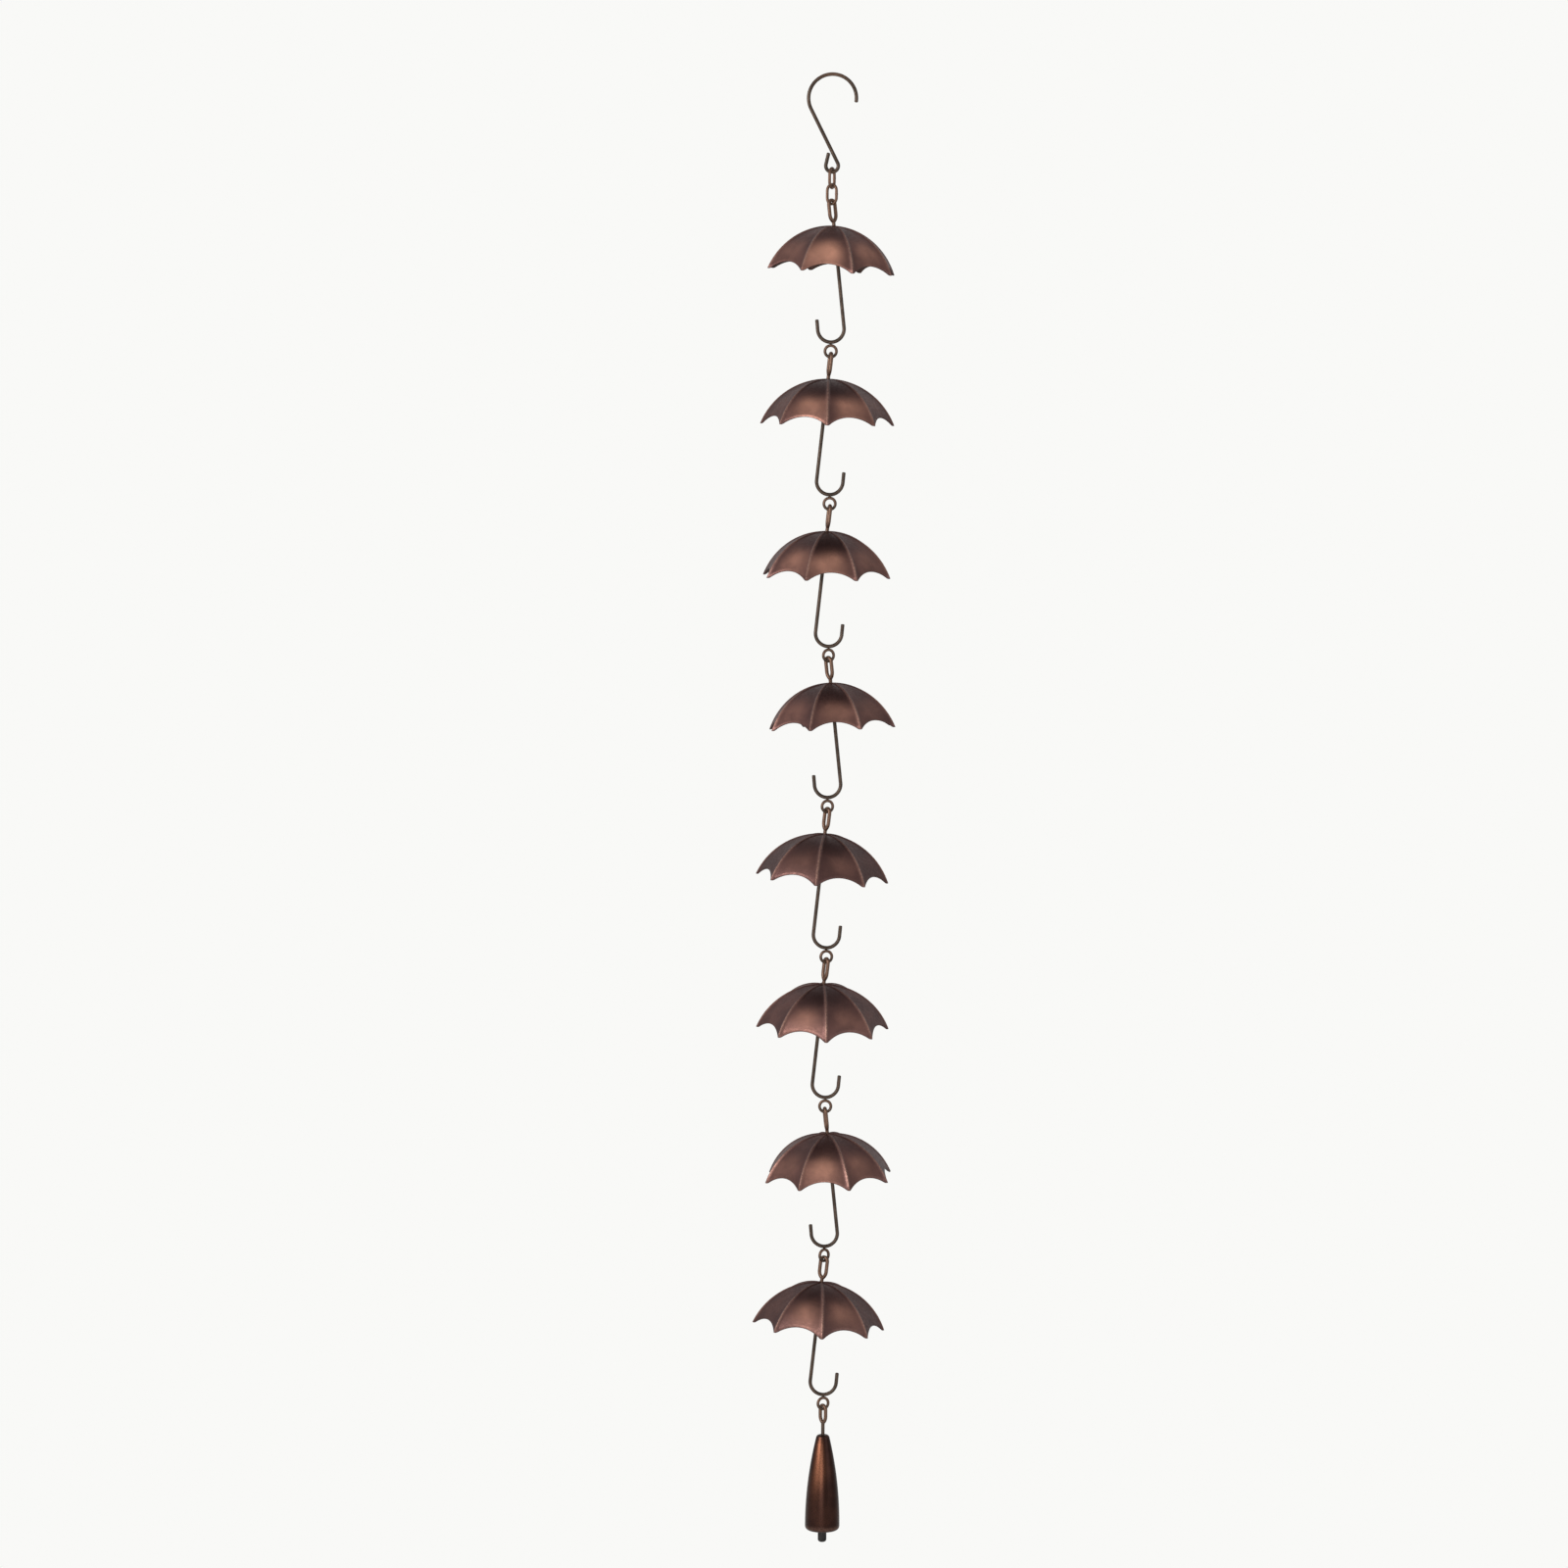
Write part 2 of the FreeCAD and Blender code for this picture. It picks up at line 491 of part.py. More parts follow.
def clapper():
    """Round striker with a rounded foot and a socket for its wire."""
    body = doc.addObject("PartDesign::Body", "clapper")
    outline = new_sketch(body, "striker_outline", "XY_Plane")
    radius = size("clapper_radius")
    edge = outline.addGeometry(Part.Circle(FreeCAD.Vector(0, 0, 0), FreeCAD.Vector(0, 0, 1), radius))
    outline.addConstraint(Sketcher.Constraint("Coincident", edge, 3, -1, 1))
    dimension(outline, "striker_radius", "sizes.clapper_radius", "Radius", edge, radius)
    striker = body.newObject("PartDesign::Pad", "striker")
    striker.Profile = outline
    striker.Reversed = True
    bind(striker, Length="sizes.clapper_length")
    doc.recompute()
    foot = body.newObject("PartDesign::Fillet", "striker_foot")
    foot.Base = (striker, [widest_edge(striker.Shape, -size("clapper_length"))])
    bind(foot, Radius="sizes.clapper_end_round")
    mouth = new_sketch(body, "socket_outline", "XY_Plane")
    socket_radius = size("clapper_wire_size") / 2 + size("clapper_socket_play")
    rim = mouth.addGeometry(Part.Circle(FreeCAD.Vector(0, 0, 0), FreeCAD.Vector(0, 0, 1), socket_radius))
    mouth.addConstraint(Sketcher.Constraint("Coincident", rim, 3, -1, 1))
    dimension(mouth, "socket_radius", "sizes.clapper_wire_size / 2 + sizes.clapper_socket_play",
              "Radius", rim, socket_radius)
    socket = body.newObject("PartDesign::Pocket", "socket")
    socket.Profile = mouth
    bind(socket, Length="sizes.clapper_socket_depth")
    doc.recompute()
    return place(body, z=f"{BELL_PIVOT_Z} - {BELL_TOP_DROP} - {STRIKER_TOP_DEPTH}")


def build_pieces():
    """Every piece of the chain, from the top down."""
    pieces = [s_hook()]
    for number, foot_z in ((1, LINK_1_FOOT_Z), (2, LINK_2_FOOT_Z)):
        pieces.append(oval_link(f"upper_link_{number}", f"{foot_z} + sizes.link_length / 2",
                                f"sizes.upper_link_turn_{number}"))
    stamped = stamped_canopy()
    for number in range(1, UMBRELLAS + 1):
        pieces += [handle(number), canopy(number, stamped), ring(number)]
    pieces += [bell_wire(), bell(), clapper_wire(), clapper()]
    return pieces


def check(pieces):
    """Stop if any step of the model failed, or if a piece isn't one sound solid."""
    failed = [item.Name for item in doc.Objects if {"Invalid", "Error"} & set(item.State)]
    if failed:
        raise RuntimeError(f"these steps failed: {failed}")
    for piece in pieces:
        shape = piece.Shape
        if shape.isNull() or not shape.isValid() or len(shape.Solids) != 1:
            raise RuntimeError(f"{piece.Label} is not one sound solid")
    stamped = doc.getObject("stamped_canopy").Shape
    plain_dome = 2 * math.pi * size("canopy_depth") * size("canopy_radius") * size("sheet")
    if stamped.BoundBox.ZMax < 0.9 * size("rib_height") or stamped.Volume < 0.7 * plain_dome:
        raise RuntimeError("the stamped canopy has lost a rib or a panel")
    socket = doc.getObject("socket").Shape.Volume
    if not socket < doc.getObject("striker_foot").Shape.Volume:
        raise RuntimeError("the striker's socket cuts nothing")


def write(pieces):
    """One file for each piece, named after it."""
    os.makedirs("parts", exist_ok=True)
    for piece in pieces:
        piece.Shape.exportStep(f"parts/{piece.Label}.step")
        box = piece.Shape.BoundBox
        print(f"{piece.Label}: {piece.Shape.Volume:.1f} mm3, z {box.ZMin:.1f} to {box.ZMax:.1f}")


fill_sheet()
all_pieces = build_pieces()
doc.recompute()
check(all_pieces)
write(all_pieces)
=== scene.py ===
# %% [markdown]
# # A rain chain of umbrellas, dressed in Blender
#
# The chain hangs from a gutter outlet: an S-hook, two oval links, eight sheet-metal umbrellas on crook
# handles with a round ring brazed under each crook, and a long bell at the foot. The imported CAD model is
# the fixed frame. This lesson replaces each of its pieces by a smoother surface worked out with numpy,
# gives every surface an aged finish of copper, bronze or iron, and lights it before a plain pale wall.

# %% The frame and its box
import math

import bpy
import numpy as np
from mathutils import Euler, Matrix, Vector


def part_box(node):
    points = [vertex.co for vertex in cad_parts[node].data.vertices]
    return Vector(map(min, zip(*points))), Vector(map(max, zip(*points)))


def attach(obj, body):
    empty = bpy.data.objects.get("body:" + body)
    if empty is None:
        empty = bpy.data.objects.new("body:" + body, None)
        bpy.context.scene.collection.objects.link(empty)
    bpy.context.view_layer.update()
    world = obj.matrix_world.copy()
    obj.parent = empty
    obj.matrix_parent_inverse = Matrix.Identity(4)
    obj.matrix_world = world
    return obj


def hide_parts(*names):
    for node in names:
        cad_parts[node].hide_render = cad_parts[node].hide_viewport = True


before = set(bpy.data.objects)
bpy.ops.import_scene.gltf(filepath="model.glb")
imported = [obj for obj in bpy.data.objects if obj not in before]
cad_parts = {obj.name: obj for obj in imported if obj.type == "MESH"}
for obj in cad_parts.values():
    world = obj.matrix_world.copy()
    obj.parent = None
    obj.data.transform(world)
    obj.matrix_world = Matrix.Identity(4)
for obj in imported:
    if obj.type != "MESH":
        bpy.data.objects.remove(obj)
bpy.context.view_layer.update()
MM = 0.001

# %% [markdown]
# ## Sizes
#
# A chain is easiest to follow from the top down: each piece hangs from the one above it, so each height
# comes from the one before. The lengths are in millimetres along the middle of the wire, as a wire bender
# would write them, and each new piece is set against the box of the CAD node that it stands for.

# %% Sizes of the wires and the umbrellas
ROD, RING_WIRE, CLAPPER_WIRE, PLAY, BRAZE_GAP = 3.0, 2.4, 2.0, 0.3, 0.05
HOOK_BEND, HOOK_LOOP, HOOK_DROP, HOOK_OVERRUN, HOOK_TAIL_TURN, HOOK_TAIL = 19.5, 5.1, 54.7, 8.0, 13.0, 9.0
LINK_LENGTH, LINK_WIDTH, RING_RADIUS = 15.8, 10.4, 4.7
EYE_RADIUS, EYE_CLOSING, EYE_LENGTH, EYE_NECK, ROD_LENGTH = 3.4, 7.0, 17.2, 3.0, 83.5
CROOK_RADIUS, CROOK_TURN, CROOK_TIP = 10.8, 181.0, 8.0
CANOPY_RADIUS, CANOPY_DEPTH, SHEET, SCALLOP, CROWN_GAP, CROWN_PLAY = 54.8, 38.0, 0.9, 8.0, 0.8, 0.25
BELL_EYE, BELL_STEM, BELL_HEIGHT, BELL_WIDEST, BELL_TOP = 11.4, 9.8, 80.5, 14.4, 5.05
BELL_LIP, BELL_SHOULDER, BELL_WALL, BELL_LOOP, BELL_HOLE_PLAY = 3.8, 2.8, 1.2, 3.2, 0.15
CLAPPER_RADIUS, CLAPPER_LENGTH, CLAPPER_REACH, CLAPPER_EYE = 3.6, 28.0, 10.0, 3.0
CLAPPER_FOOT, CLAPPER_EDGE, CLAPPER_SOCKET, STEM_DEPTH = 2.2, 0.5, 1.05, 4.9
UMBRELLAS, PANELS = 8, 8
CROOK_FACING = (180, 0, 0, 180, 0, 0, 180, 0)
CANOPY_TURN = (19.0, 0.2, 27.3, 25.7, -5.1, 3.7, 18.7, 3.2)
CANOPY_TILT = (3.2, 0.8, 0.4, -2.2, 3.3, 1.4, -1.5, 3.8)
CANOPY_NOD = (2.0, 0.5, 2.0, -1.7, 1.3, 5.8, 3.8, 0.6)
EYE_TURN = (44, -77, -79, -50, -56, -63, -80, -36)
RING_TURN = (0, 0, 26, 21, 14, 0, 40, 26)
LINK_TURN = (68.0, -44.0)
BELL_EYE_TURN = -50.0

# %% Heights of the chain, from the hang point down
SEAT = (ROD + RING_WIRE) / 2 + PLAY
HOOK_SLANT = math.degrees(math.asin((HOOK_BEND + HOOK_LOOP) / HOOK_DROP))
hook_bend_z = ROD / 2 - HOOK_BEND
hook_loop_z = hook_bend_z - HOOK_DROP
hook_foot_z = hook_loop_z - HOOK_LOOP
link_1_foot_z = hook_foot_z + SEAT - LINK_LENGTH
link_2_foot_z = link_1_foot_z + RING_WIRE + PLAY - LINK_LENGTH
CROWN_DROP = EYE_LENGTH + EYE_RADIUS - SEAT
CROOK_DROP = CROWN_DROP + ROD_LENGTH
LEAN = math.degrees(math.atan(CROOK_RADIUS / CROOK_DROP))
CROOK_FOOT = math.hypot(CROOK_RADIUS, CROOK_DROP) + CROOK_RADIUS
RING_DROP = (ROD + RING_WIRE) / 2 + BRAZE_GAP + RING_RADIUS
PITCH = CROOK_FOOT + RING_DROP + RING_RADIUS
pivots = link_2_foot_z - PITCH * np.arange(UMBRELLAS + 1)
crook_feet = pivots[:UMBRELLAS] - CROOK_FOOT
bell_top_z = pivots[UMBRELLAS] - (BELL_EYE + EYE_RADIUS - SEAT) - BELL_STEM
bell_loop_z = bell_top_z - BELL_WALL - BRAZE_GAP - ROD / 2 - BELL_LOOP
clapper_pivot_z = bell_loop_z - BELL_LOOP
print("umbrella pitch %.2f mm, lean %.2f degrees, bell top at %.1f mm" % (PITCH, LEAN, bell_top_z))

# %% [markdown]
# ## Turning a grid of points into a closed piece
#
# Every piece of this chain is a round or folded section carried along something: along a bent wire, round
# a bell's axis, or round an umbrella's crown. So one helper is enough. It takes rows of points, each row
# a closed loop, and skins them with quads. A piece with two ends is closed by a pole at each end, and a
# piece such as a sheet with a hole has its last row joined to its first. The sign of the volume says
# whether the faces point outwards.

# %% Skin a grid of rows
def skin(rows, ring_closed):
    """Vertices and faces of a surface through rows of points, shaped (rows, columns, 3).

    Each row closes on itself. With ring_closed the last row joins the first, and otherwise the middle of each
    end row is a pole.
    """
    count, columns = rows.shape[:2]
    index = np.arange(count * columns).reshape(count, columns)
    beside = np.roll(index, -1, axis=1)
    below = np.roll(index, -1, axis=0)
    diagonal = np.roll(below, -1, axis=1)
    quads = np.stack([index, beside, diagonal, below], axis=-1)
    vertices = rows.reshape(-1, 3)
    if ring_closed:
        return vertices, quads.reshape(-1, 4), np.zeros((0, 3), int)
    poles = np.array([rows[0].mean(axis=0), rows[-1].mean(axis=0)])
    first = np.stack([np.full(columns, count * columns), beside[0], index[0]], axis=-1)
    last = np.stack([np.full(columns, count * columns + 1), index[-1], beside[-1]], axis=-1)
    return np.vstack([vertices, poles]), quads[:-1].reshape(-1, 4), np.vstack([first, last])


def volume(vertices, quads, triangles):
    """Signed volume: a sixth of the sum of a . (b x c) over the triangles, positive where faces point out."""
    corners = np.vstack([quads[:, [0, 1, 2]], quads[:, [0, 2, 3]], triangles])
    a, b, c = (vertices[corners[:, k]] for k in range(3))
    return float(np.einsum("ij,ij->i", a, np.cross(b, c)).sum() / 6)


# %% Put a skinned surface into the scene
def add_piece(name, rows, ring_closed, body, node, slot, marks=None):
    """Make a named mesh that rides on a body, stands for a CAD node and carries its marks as attributes."""
    vertices, quads, triangles = skin(rows, ring_closed)
    if volume(vertices, quads, triangles) < 0:
        quads, triangles = quads[:, ::-1], triangles[:, ::-1]
    mesh = bpy.data.meshes.new(name)
    mesh.from_pydata((vertices * MM).tolist(), [], quads.tolist() + triangles.tolist())
    mesh.polygons.foreach_set("use_smooth", np.ones(len(mesh.polygons), bool))
    for mark, values in (marks or {}).items():
        flat = np.asarray(values, float).reshape(-1)
        ends = np.full(len(vertices) - len(flat), flat.mean())
        layer = mesh.attributes.new(mark, "FLOAT", "POINT")
        layer.data.foreach_set("value", np.concatenate([flat, ends]).astype(np.float32))
    mesh.update()
    piece = bpy.data.objects.new(name, mesh)
    bpy.context.scene.collection.objects.link(piece)
    piece.data.materials.append(FINISH[slot])
    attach(piece, body)
    if node:
        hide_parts(node)
    return piece


# %% [markdown]
# ## Shared effects of the finishes
#
# The real chain is steel, plated and flamed to an antique copper: a purple-brown skin with darker heat
# bloom and warmer copper, rubbed lighter on the ribs and wherever two wires touch. Part of the colour is
# painted light: on the canopies a painted dark reflection on the upper front panels, a painted warm
# highlight low on them, a painted highlight along the ribs and painted shade inside, and on the bell a
# painted highlight band. Three node groups carry what all the finishes share. Mottling gives slow and
# quick changes of tone, rubbing lightens what a mark on the mesh says is worn, which on the canopy ribs
# is also a painted highlight, and the hand-worked height gives the faint unevenness of formed and dipped
# metal. They could be repeated in each material, but a group is made once and tuned by its inputs.

# %% Helpers for shader nodes
def new_group(name, inputs, outputs):
    """A shader node group with float or colour sockets, and its input and output nodes."""
    group = bpy.data.node_groups.new(name, "ShaderNodeTree")
    for title, kind, value in inputs:
        socket = group.interface.new_socket(title, in_out="INPUT", socket_type=kind)
        socket.default_value = value
    for title, kind in outputs:
        group.interface.new_socket(title, in_out="OUTPUT", socket_type=kind)
    return group, group.nodes.new("NodeGroupInput"), group.nodes.new("NodeGroupOutput")


def node(tree, kind, settings=None, **links):
    """Add a node, set its properties, and fill its sockets with values or with other nodes' outputs.

    A socket goes by its name, with _ for a space, or by i and its number where names repeat.
    """
    made = tree.nodes.new(kind)
    for key, value in (settings or {}).items():
        setattr(made, key, value)
    for key, value in links.items():
        by_number = key[0] == "i" and key[1:].isdigit()
        socket = made.inputs[int(key[1:]) if by_number else key.replace("_", " ")]
        if isinstance(value, bpy.types.NodeSocket):
            tree.links.new(value, socket)
        else:
            socket.default_value = value
    return made


def noise(tree, scale, detail=3.0, roughness=0.55):
    """Fractal noise on the piece's own coordinates, from 0 to 1."""
    place = node(tree, "ShaderNodeTexCoord")
    return node(tree, "ShaderNodeTexNoise", Vector=place.outputs["Object"], Scale=scale, Detail=detail,
                Roughness=roughness).outputs["Fac"]


def remap(tree, value, low, high, to_low=0.0, to_high=1.0):
    """Stretch a value from low..high to to_low..to_high, with a smooth start and end."""
    stretched = node(tree, "ShaderNodeMapRange", {"interpolation_type": "SMOOTHSTEP"},
                     Value=value, i1=low, i2=high, i3=to_low, i4=to_high)
    return stretched.outputs[0]


def math_node(tree, operation, first, second, clamp=False):
    """One sum, product or comparison of two values."""
    settings = {"operation": operation, "use_clamp": clamp}
    return node(tree, "ShaderNodeMath", settings, i0=first, i1=second).outputs[0]


def mix_colour(tree, factor, first, second):
    """A blend of two colours."""
    return node(tree, "ShaderNodeMix", {"data_type": "RGBA"}, i0=factor, i6=first, i7=second).outputs[2]


def mark(tree, name):
    """A mark stored on the mesh, read as one value."""
    return node(tree, "ShaderNodeAttribute", {"attribute_name": name}).outputs["Fac"]


# %% Mottling, rubbing and hand-worked height
mottle, m_in, m_out = new_group(
    "mottle", [("Broad Scale", "NodeSocketFloat", 45.0), ("Fine Scale", "NodeSocketFloat", 420.0)],
    [("Broad", "NodeSocketFloat"), ("Fine", "NodeSocketFloat")])
broad_tone = remap(mottle, noise(mottle, m_in.outputs["Broad Scale"], 2.0), 0.32, 0.68)
mottle.links.new(broad_tone, m_out.inputs["Broad"])
fine_tone = remap(mottle, noise(mottle, m_in.outputs["Fine Scale"], 4.0, 0.65), 0.3, 0.7)
mottle.links.new(fine_tone, m_out.inputs["Fine"])

rubbing, r_in, r_out = new_group(
    "rubbing", [("Rubbed", "NodeSocketFloat", 0.0), ("Amount", "NodeSocketFloat", 1.0)],
    [("Mask", "NodeSocketFloat")])
broken = remap(rubbing, noise(rubbing, 700.0, 3.0), 0.28, 0.62, 0.25, 1.0)
rubbed_here = math_node(rubbing, "MULTIPLY", r_in.outputs["Rubbed"], broken)
rub_mask = math_node(rubbing, "MULTIPLY", rubbed_here, r_in.outputs["Amount"], True)
rubbing.links.new(rub_mask, r_out.inputs["Mask"])

hand_work, h_in, h_out = new_group(
    "hand_work", [("Dent Scale", "NodeSocketFloat", 110.0), ("Grain Scale", "NodeSocketFloat", 1800.0)],
    [("Height", "NodeSocketFloat")])
dents = noise(hand_work, h_in.outputs["Dent Scale"], 1.0, 0.4)
grain = math_node(hand_work, "MULTIPLY", noise(hand_work, h_in.outputs["Grain Scale"], 2.0), 0.12)
hand_work.links.new(math_node(hand_work, "ADD", dents, grain), h_out.inputs["Height"])
print("node groups:", [group.name for group in bpy.data.node_groups])

# %% [markdown]
# ## The four finishes
#
# Each finish is one Principled BSDF fed by the shared groups. The canopies are the show piece: their
# colour runs from purple-brown through dark bloom to warm copper by marks that the canopy's own surface
# carries, so the marks follow the panels. On the front panels the bloom is deepened by a painted dark
# reflection and the warm copper is a painted highlight. The wires are a plainer dark bronze with bright
# rubbed seats, the bell is a darker and glossier copper with a painted highlight band, and the striker
# is blackened iron.

# %% Start a finish
def rgb(red, green, blue):
    """A colour in Blender's linear values, with full alpha."""
    return (red, green, blue, 1.0)


def start_finish(name, metallic, bump):
    """A material with its Principled BSDF, a hand-worked bump, and the tree to add to."""
    material = bpy.data.materials.new(name)
    material.use_nodes = True
    tree = material.node_tree
    shader = tree.nodes["Principled BSDF"]
    shader.inputs["Metallic"].default_value = metallic
    worked = node(tree, "ShaderNodeGroup", {"node_tree": hand_work})
    raised = node(tree, "ShaderNodeBump", Strength=bump, Distance=0.001, Height=worked.outputs["Height"])
    tree.links.new(raised.outputs["Normal"], shader.inputs["Normal"])
    return material, tree, shader


def tones(tree, broad, fine):
    """The mottling group, set to two scales."""
    placed = node(tree, "ShaderNodeGroup", {"node_tree": mottle})
    placed.inputs["Broad Scale"].default_value = broad
    placed.inputs["Fine Scale"].default_value = fine
    return placed.outputs["Broad"], placed.outputs["Fine"]


def rubbed(tree, amount):
    """The rubbing group, driven by the mesh's own rubbed mark."""
    placed = node(tree, "ShaderNodeGroup", {"node_tree": rubbing})
    tree.links.new(mark(tree, "rubbed"), placed.inputs["Rubbed"])
    placed.inputs["Amount"].default_value = amount
    return placed.outputs["Mask"]


# %% Flamed copper of the canopies
def flamed_copper():
    """Purple-brown skin, warm copper low on the front panels as a painted highlight, dark bloom under the
    crown with a painted dark reflection on the front, ribs rubbed lighter with a painted highlight, and
    painted shade inside.
    """
    material, tree, shader = start_finish("flamed_copper", 0.8, 0.10)
    broad, fine = tones(tree, 55.0, 480.0)
    skin_tone = mix_colour(tree, broad, rgb(0.116, 0.056, 0.052), rgb(0.172, 0.082, 0.072))
    # The warm mark is warm copper painted as a highlight low on the front panels.
    warm = math_node(tree, "MULTIPLY", mark(tree, "warm"), remap(tree, broad, 0.0, 1.0, 0.75, 1.0))
    colour = mix_colour(tree, warm, skin_tone, rgb(1.0, 0.49, 0.335))
    # The bloom mark is heat bloom, deepened on the upper front panels as a painted dark reflection.
    bloom = math_node(tree, "MULTIPLY", mark(tree, "bloom"), remap(tree, fine, 0.0, 1.0, 0.82, 1.0))
    colour = mix_colour(tree, bloom, colour, rgb(0.050, 0.025, 0.024))
    # Lighter ribs: rubbed wear together with a painted highlight along each rib.
    colour = mix_colour(tree, rubbed(tree, 0.85), colour, rgb(0.48, 0.275, 0.215))
    # The inside mark darkens the underside of the sheet as painted shade and makes it a little rougher.
    inside = mark(tree, "inside")
    colour = mix_colour(tree, math_node(tree, "MULTIPLY", inside, 0.8), colour, rgb(0.075, 0.045, 0.036))
    tree.links.new(colour, shader.inputs["Base Color"])
    rough = remap(tree, fine, 0.0, 1.0, 0.36, 0.5)
    tree.links.new(math_node(tree, "ADD", rough, math_node(tree, "MULTIPLY", inside, 0.15)),
                   shader.inputs["Roughness"])
    return material


# %% Dark bronze of the wires
def dark_bronze():
    """Brown-black lacquer over wire, mottled, browner at the eyes and rubbed to bronze at the seats."""
    material, tree, shader = start_finish("dark_bronze", 0.65, 0.025)
    broad, fine = tones(tree, 90.0, 900.0)
    colour = mix_colour(tree, broad, rgb(0.052, 0.036, 0.026), rgb(0.098, 0.066, 0.048))
    colour = mix_colour(tree, math_node(tree, "MULTIPLY", fine, 0.12), colour, rgb(0.15, 0.092, 0.062))
    browner = math_node(tree, "MULTIPLY", mark(tree, "warm"), 0.75)
    colour = mix_colour(tree, browner, colour, rgb(0.205, 0.112, 0.074))
    colour = mix_colour(tree, rubbed(tree, 0.8), colour, rgb(0.30, 0.19, 0.125))
    tree.links.new(colour, shader.inputs["Base Color"])
    tree.links.new(remap(tree, fine, 0.0, 1.0, 0.36, 0.44), shader.inputs["Roughness"])
    return material


# %% Darker copper of the bell
def bell_copper():
    """Dark red-brown copper with a painted highlight as a warm band up one side, a rubbed lip and
    painted shade inside.
    """
    material, tree, shader = start_finish("bell_copper", 0.9, 0.03)
    broad, fine = tones(tree, 60.0, 600.0)
    colour = mix_colour(tree, broad, rgb(0.032, 0.013, 0.010), rgb(0.055, 0.022, 0.015))
    # The warm mark paints a highlight band down the bell's front.
    colour = mix_colour(tree, mark(tree, "warm"), colour, rgb(0.30, 0.115, 0.062))
    colour = mix_colour(tree, rubbed(tree, 0.6), colour, rgb(0.22, 0.12, 0.09))
    shaded = math_node(tree, "MULTIPLY", mark(tree, "inside"), 0.8)
    colour = mix_colour(tree, shaded, colour, rgb(0.03, 0.02, 0.016))
    tree.links.new(colour, shader.inputs["Base Color"])
    tree.links.new(remap(tree, fine, 0.0, 1.0, 0.27, 0.31), shader.inputs["Roughness"])
    return material


# %% Blackened iron of the striker
def blackened_iron():
    """Near-black iron with a grey bloom and a rough cast grain."""
    material, tree, shader = start_finish("blackened_iron", 0.6, 0.16)
    broad, fine = tones(tree, 160.0, 1400.0)
    colour = mix_colour(tree, broad, rgb(0.022, 0.019, 0.018), rgb(0.048, 0.042, 0.039))
    colour = mix_colour(tree, rubbed(tree, 0.5), colour, rgb(0.13, 0.12, 0.11))
    tree.links.new(colour, shader.inputs["Base Color"])
    tree.links.new(remap(tree, fine, 0.0, 1.0, 0.45, 0.65), shader.inputs["Roughness"])
    return material


FINISH = {"canopy": flamed_copper(), "wire": dark_bronze(),
          "bell": bell_copper(), "clapper": blackened_iron()}
print("finishes:", [material.name for material in FINISH.values()])

# %% [markdown]
# ## Bending wire
#
# All the wire work lies flat before it is turned into place: straight runs and bends in the XZ plane,
# which is how a wire bender makes it on a jig. A path is a stack of such runs. A Blender curve with a
# bevel would give the same tube, but a numpy sweep lets the cut ends be domed and lets each vertex know
# how near it is to a seat.

# %% Runs, bends and turns
def run(start, end, count):
    """A straight run: start + (end - start) * t, with t from 0 to 1."""
    t = np.linspace(0, 1, count)[:, None]
    start, end = np.array([start[0], 0, start[1]]), np.array([end[0], 0, end[1]])
    return start + (end - start) * t


def bend(centre, radius, first, last, count):
    """A bend: centre + radius * (cos a, 0, sin a), with a from first to last in degrees."""
    a = np.radians(np.linspace(first, last, count))
    return np.stack([centre[0] + radius * np.cos(a), 0 * a, centre[1] + radius * np.sin(a)], axis=-1)


def join(*runs):
    """Runs end to end, without the point that two neighbours share."""
    return np.vstack([runs[0]] + [later[1:] for later in runs[1:]])


def turn_z(points, degrees):
    """Points turned about the upright axis: (x cos - y sin, x sin + y cos, z)."""
    c, s = np.cos(np.radians(degrees)), np.sin(np.radians(degrees))
    x, y, z = np.moveaxis(np.asarray(points, float), -1, 0)
    return np.stack([x * c - y * s, x * s + y * c, z + 0 * c], axis=-1)


def turn_x(points, degrees):
    """Points turned about X: (x, y cos - z sin, y sin + z cos)."""
    c, s = np.cos(np.radians(degrees)), np.sin(np.radians(degrees))
    x, y, z = np.moveaxis(np.asarray(points, float), -1, 0)
    return np.stack([x, y * c - z * s, y * s + z * c], axis=-1)


def turn_y(points, degrees):
    """Points turned about Y: (x cos + z sin, y, z cos - x sin)."""
    c, s = np.cos(np.radians(degrees)), np.sin(np.radians(degrees))
    x, y, z = np.moveaxis(np.asarray(points, float), -1, 0)
    return np.stack([x * c + z * s, y, z * c - x * s], axis=-1)


# %% Carry a round section along a path
DOME_ANGLES = (82, 62, 40, 20)


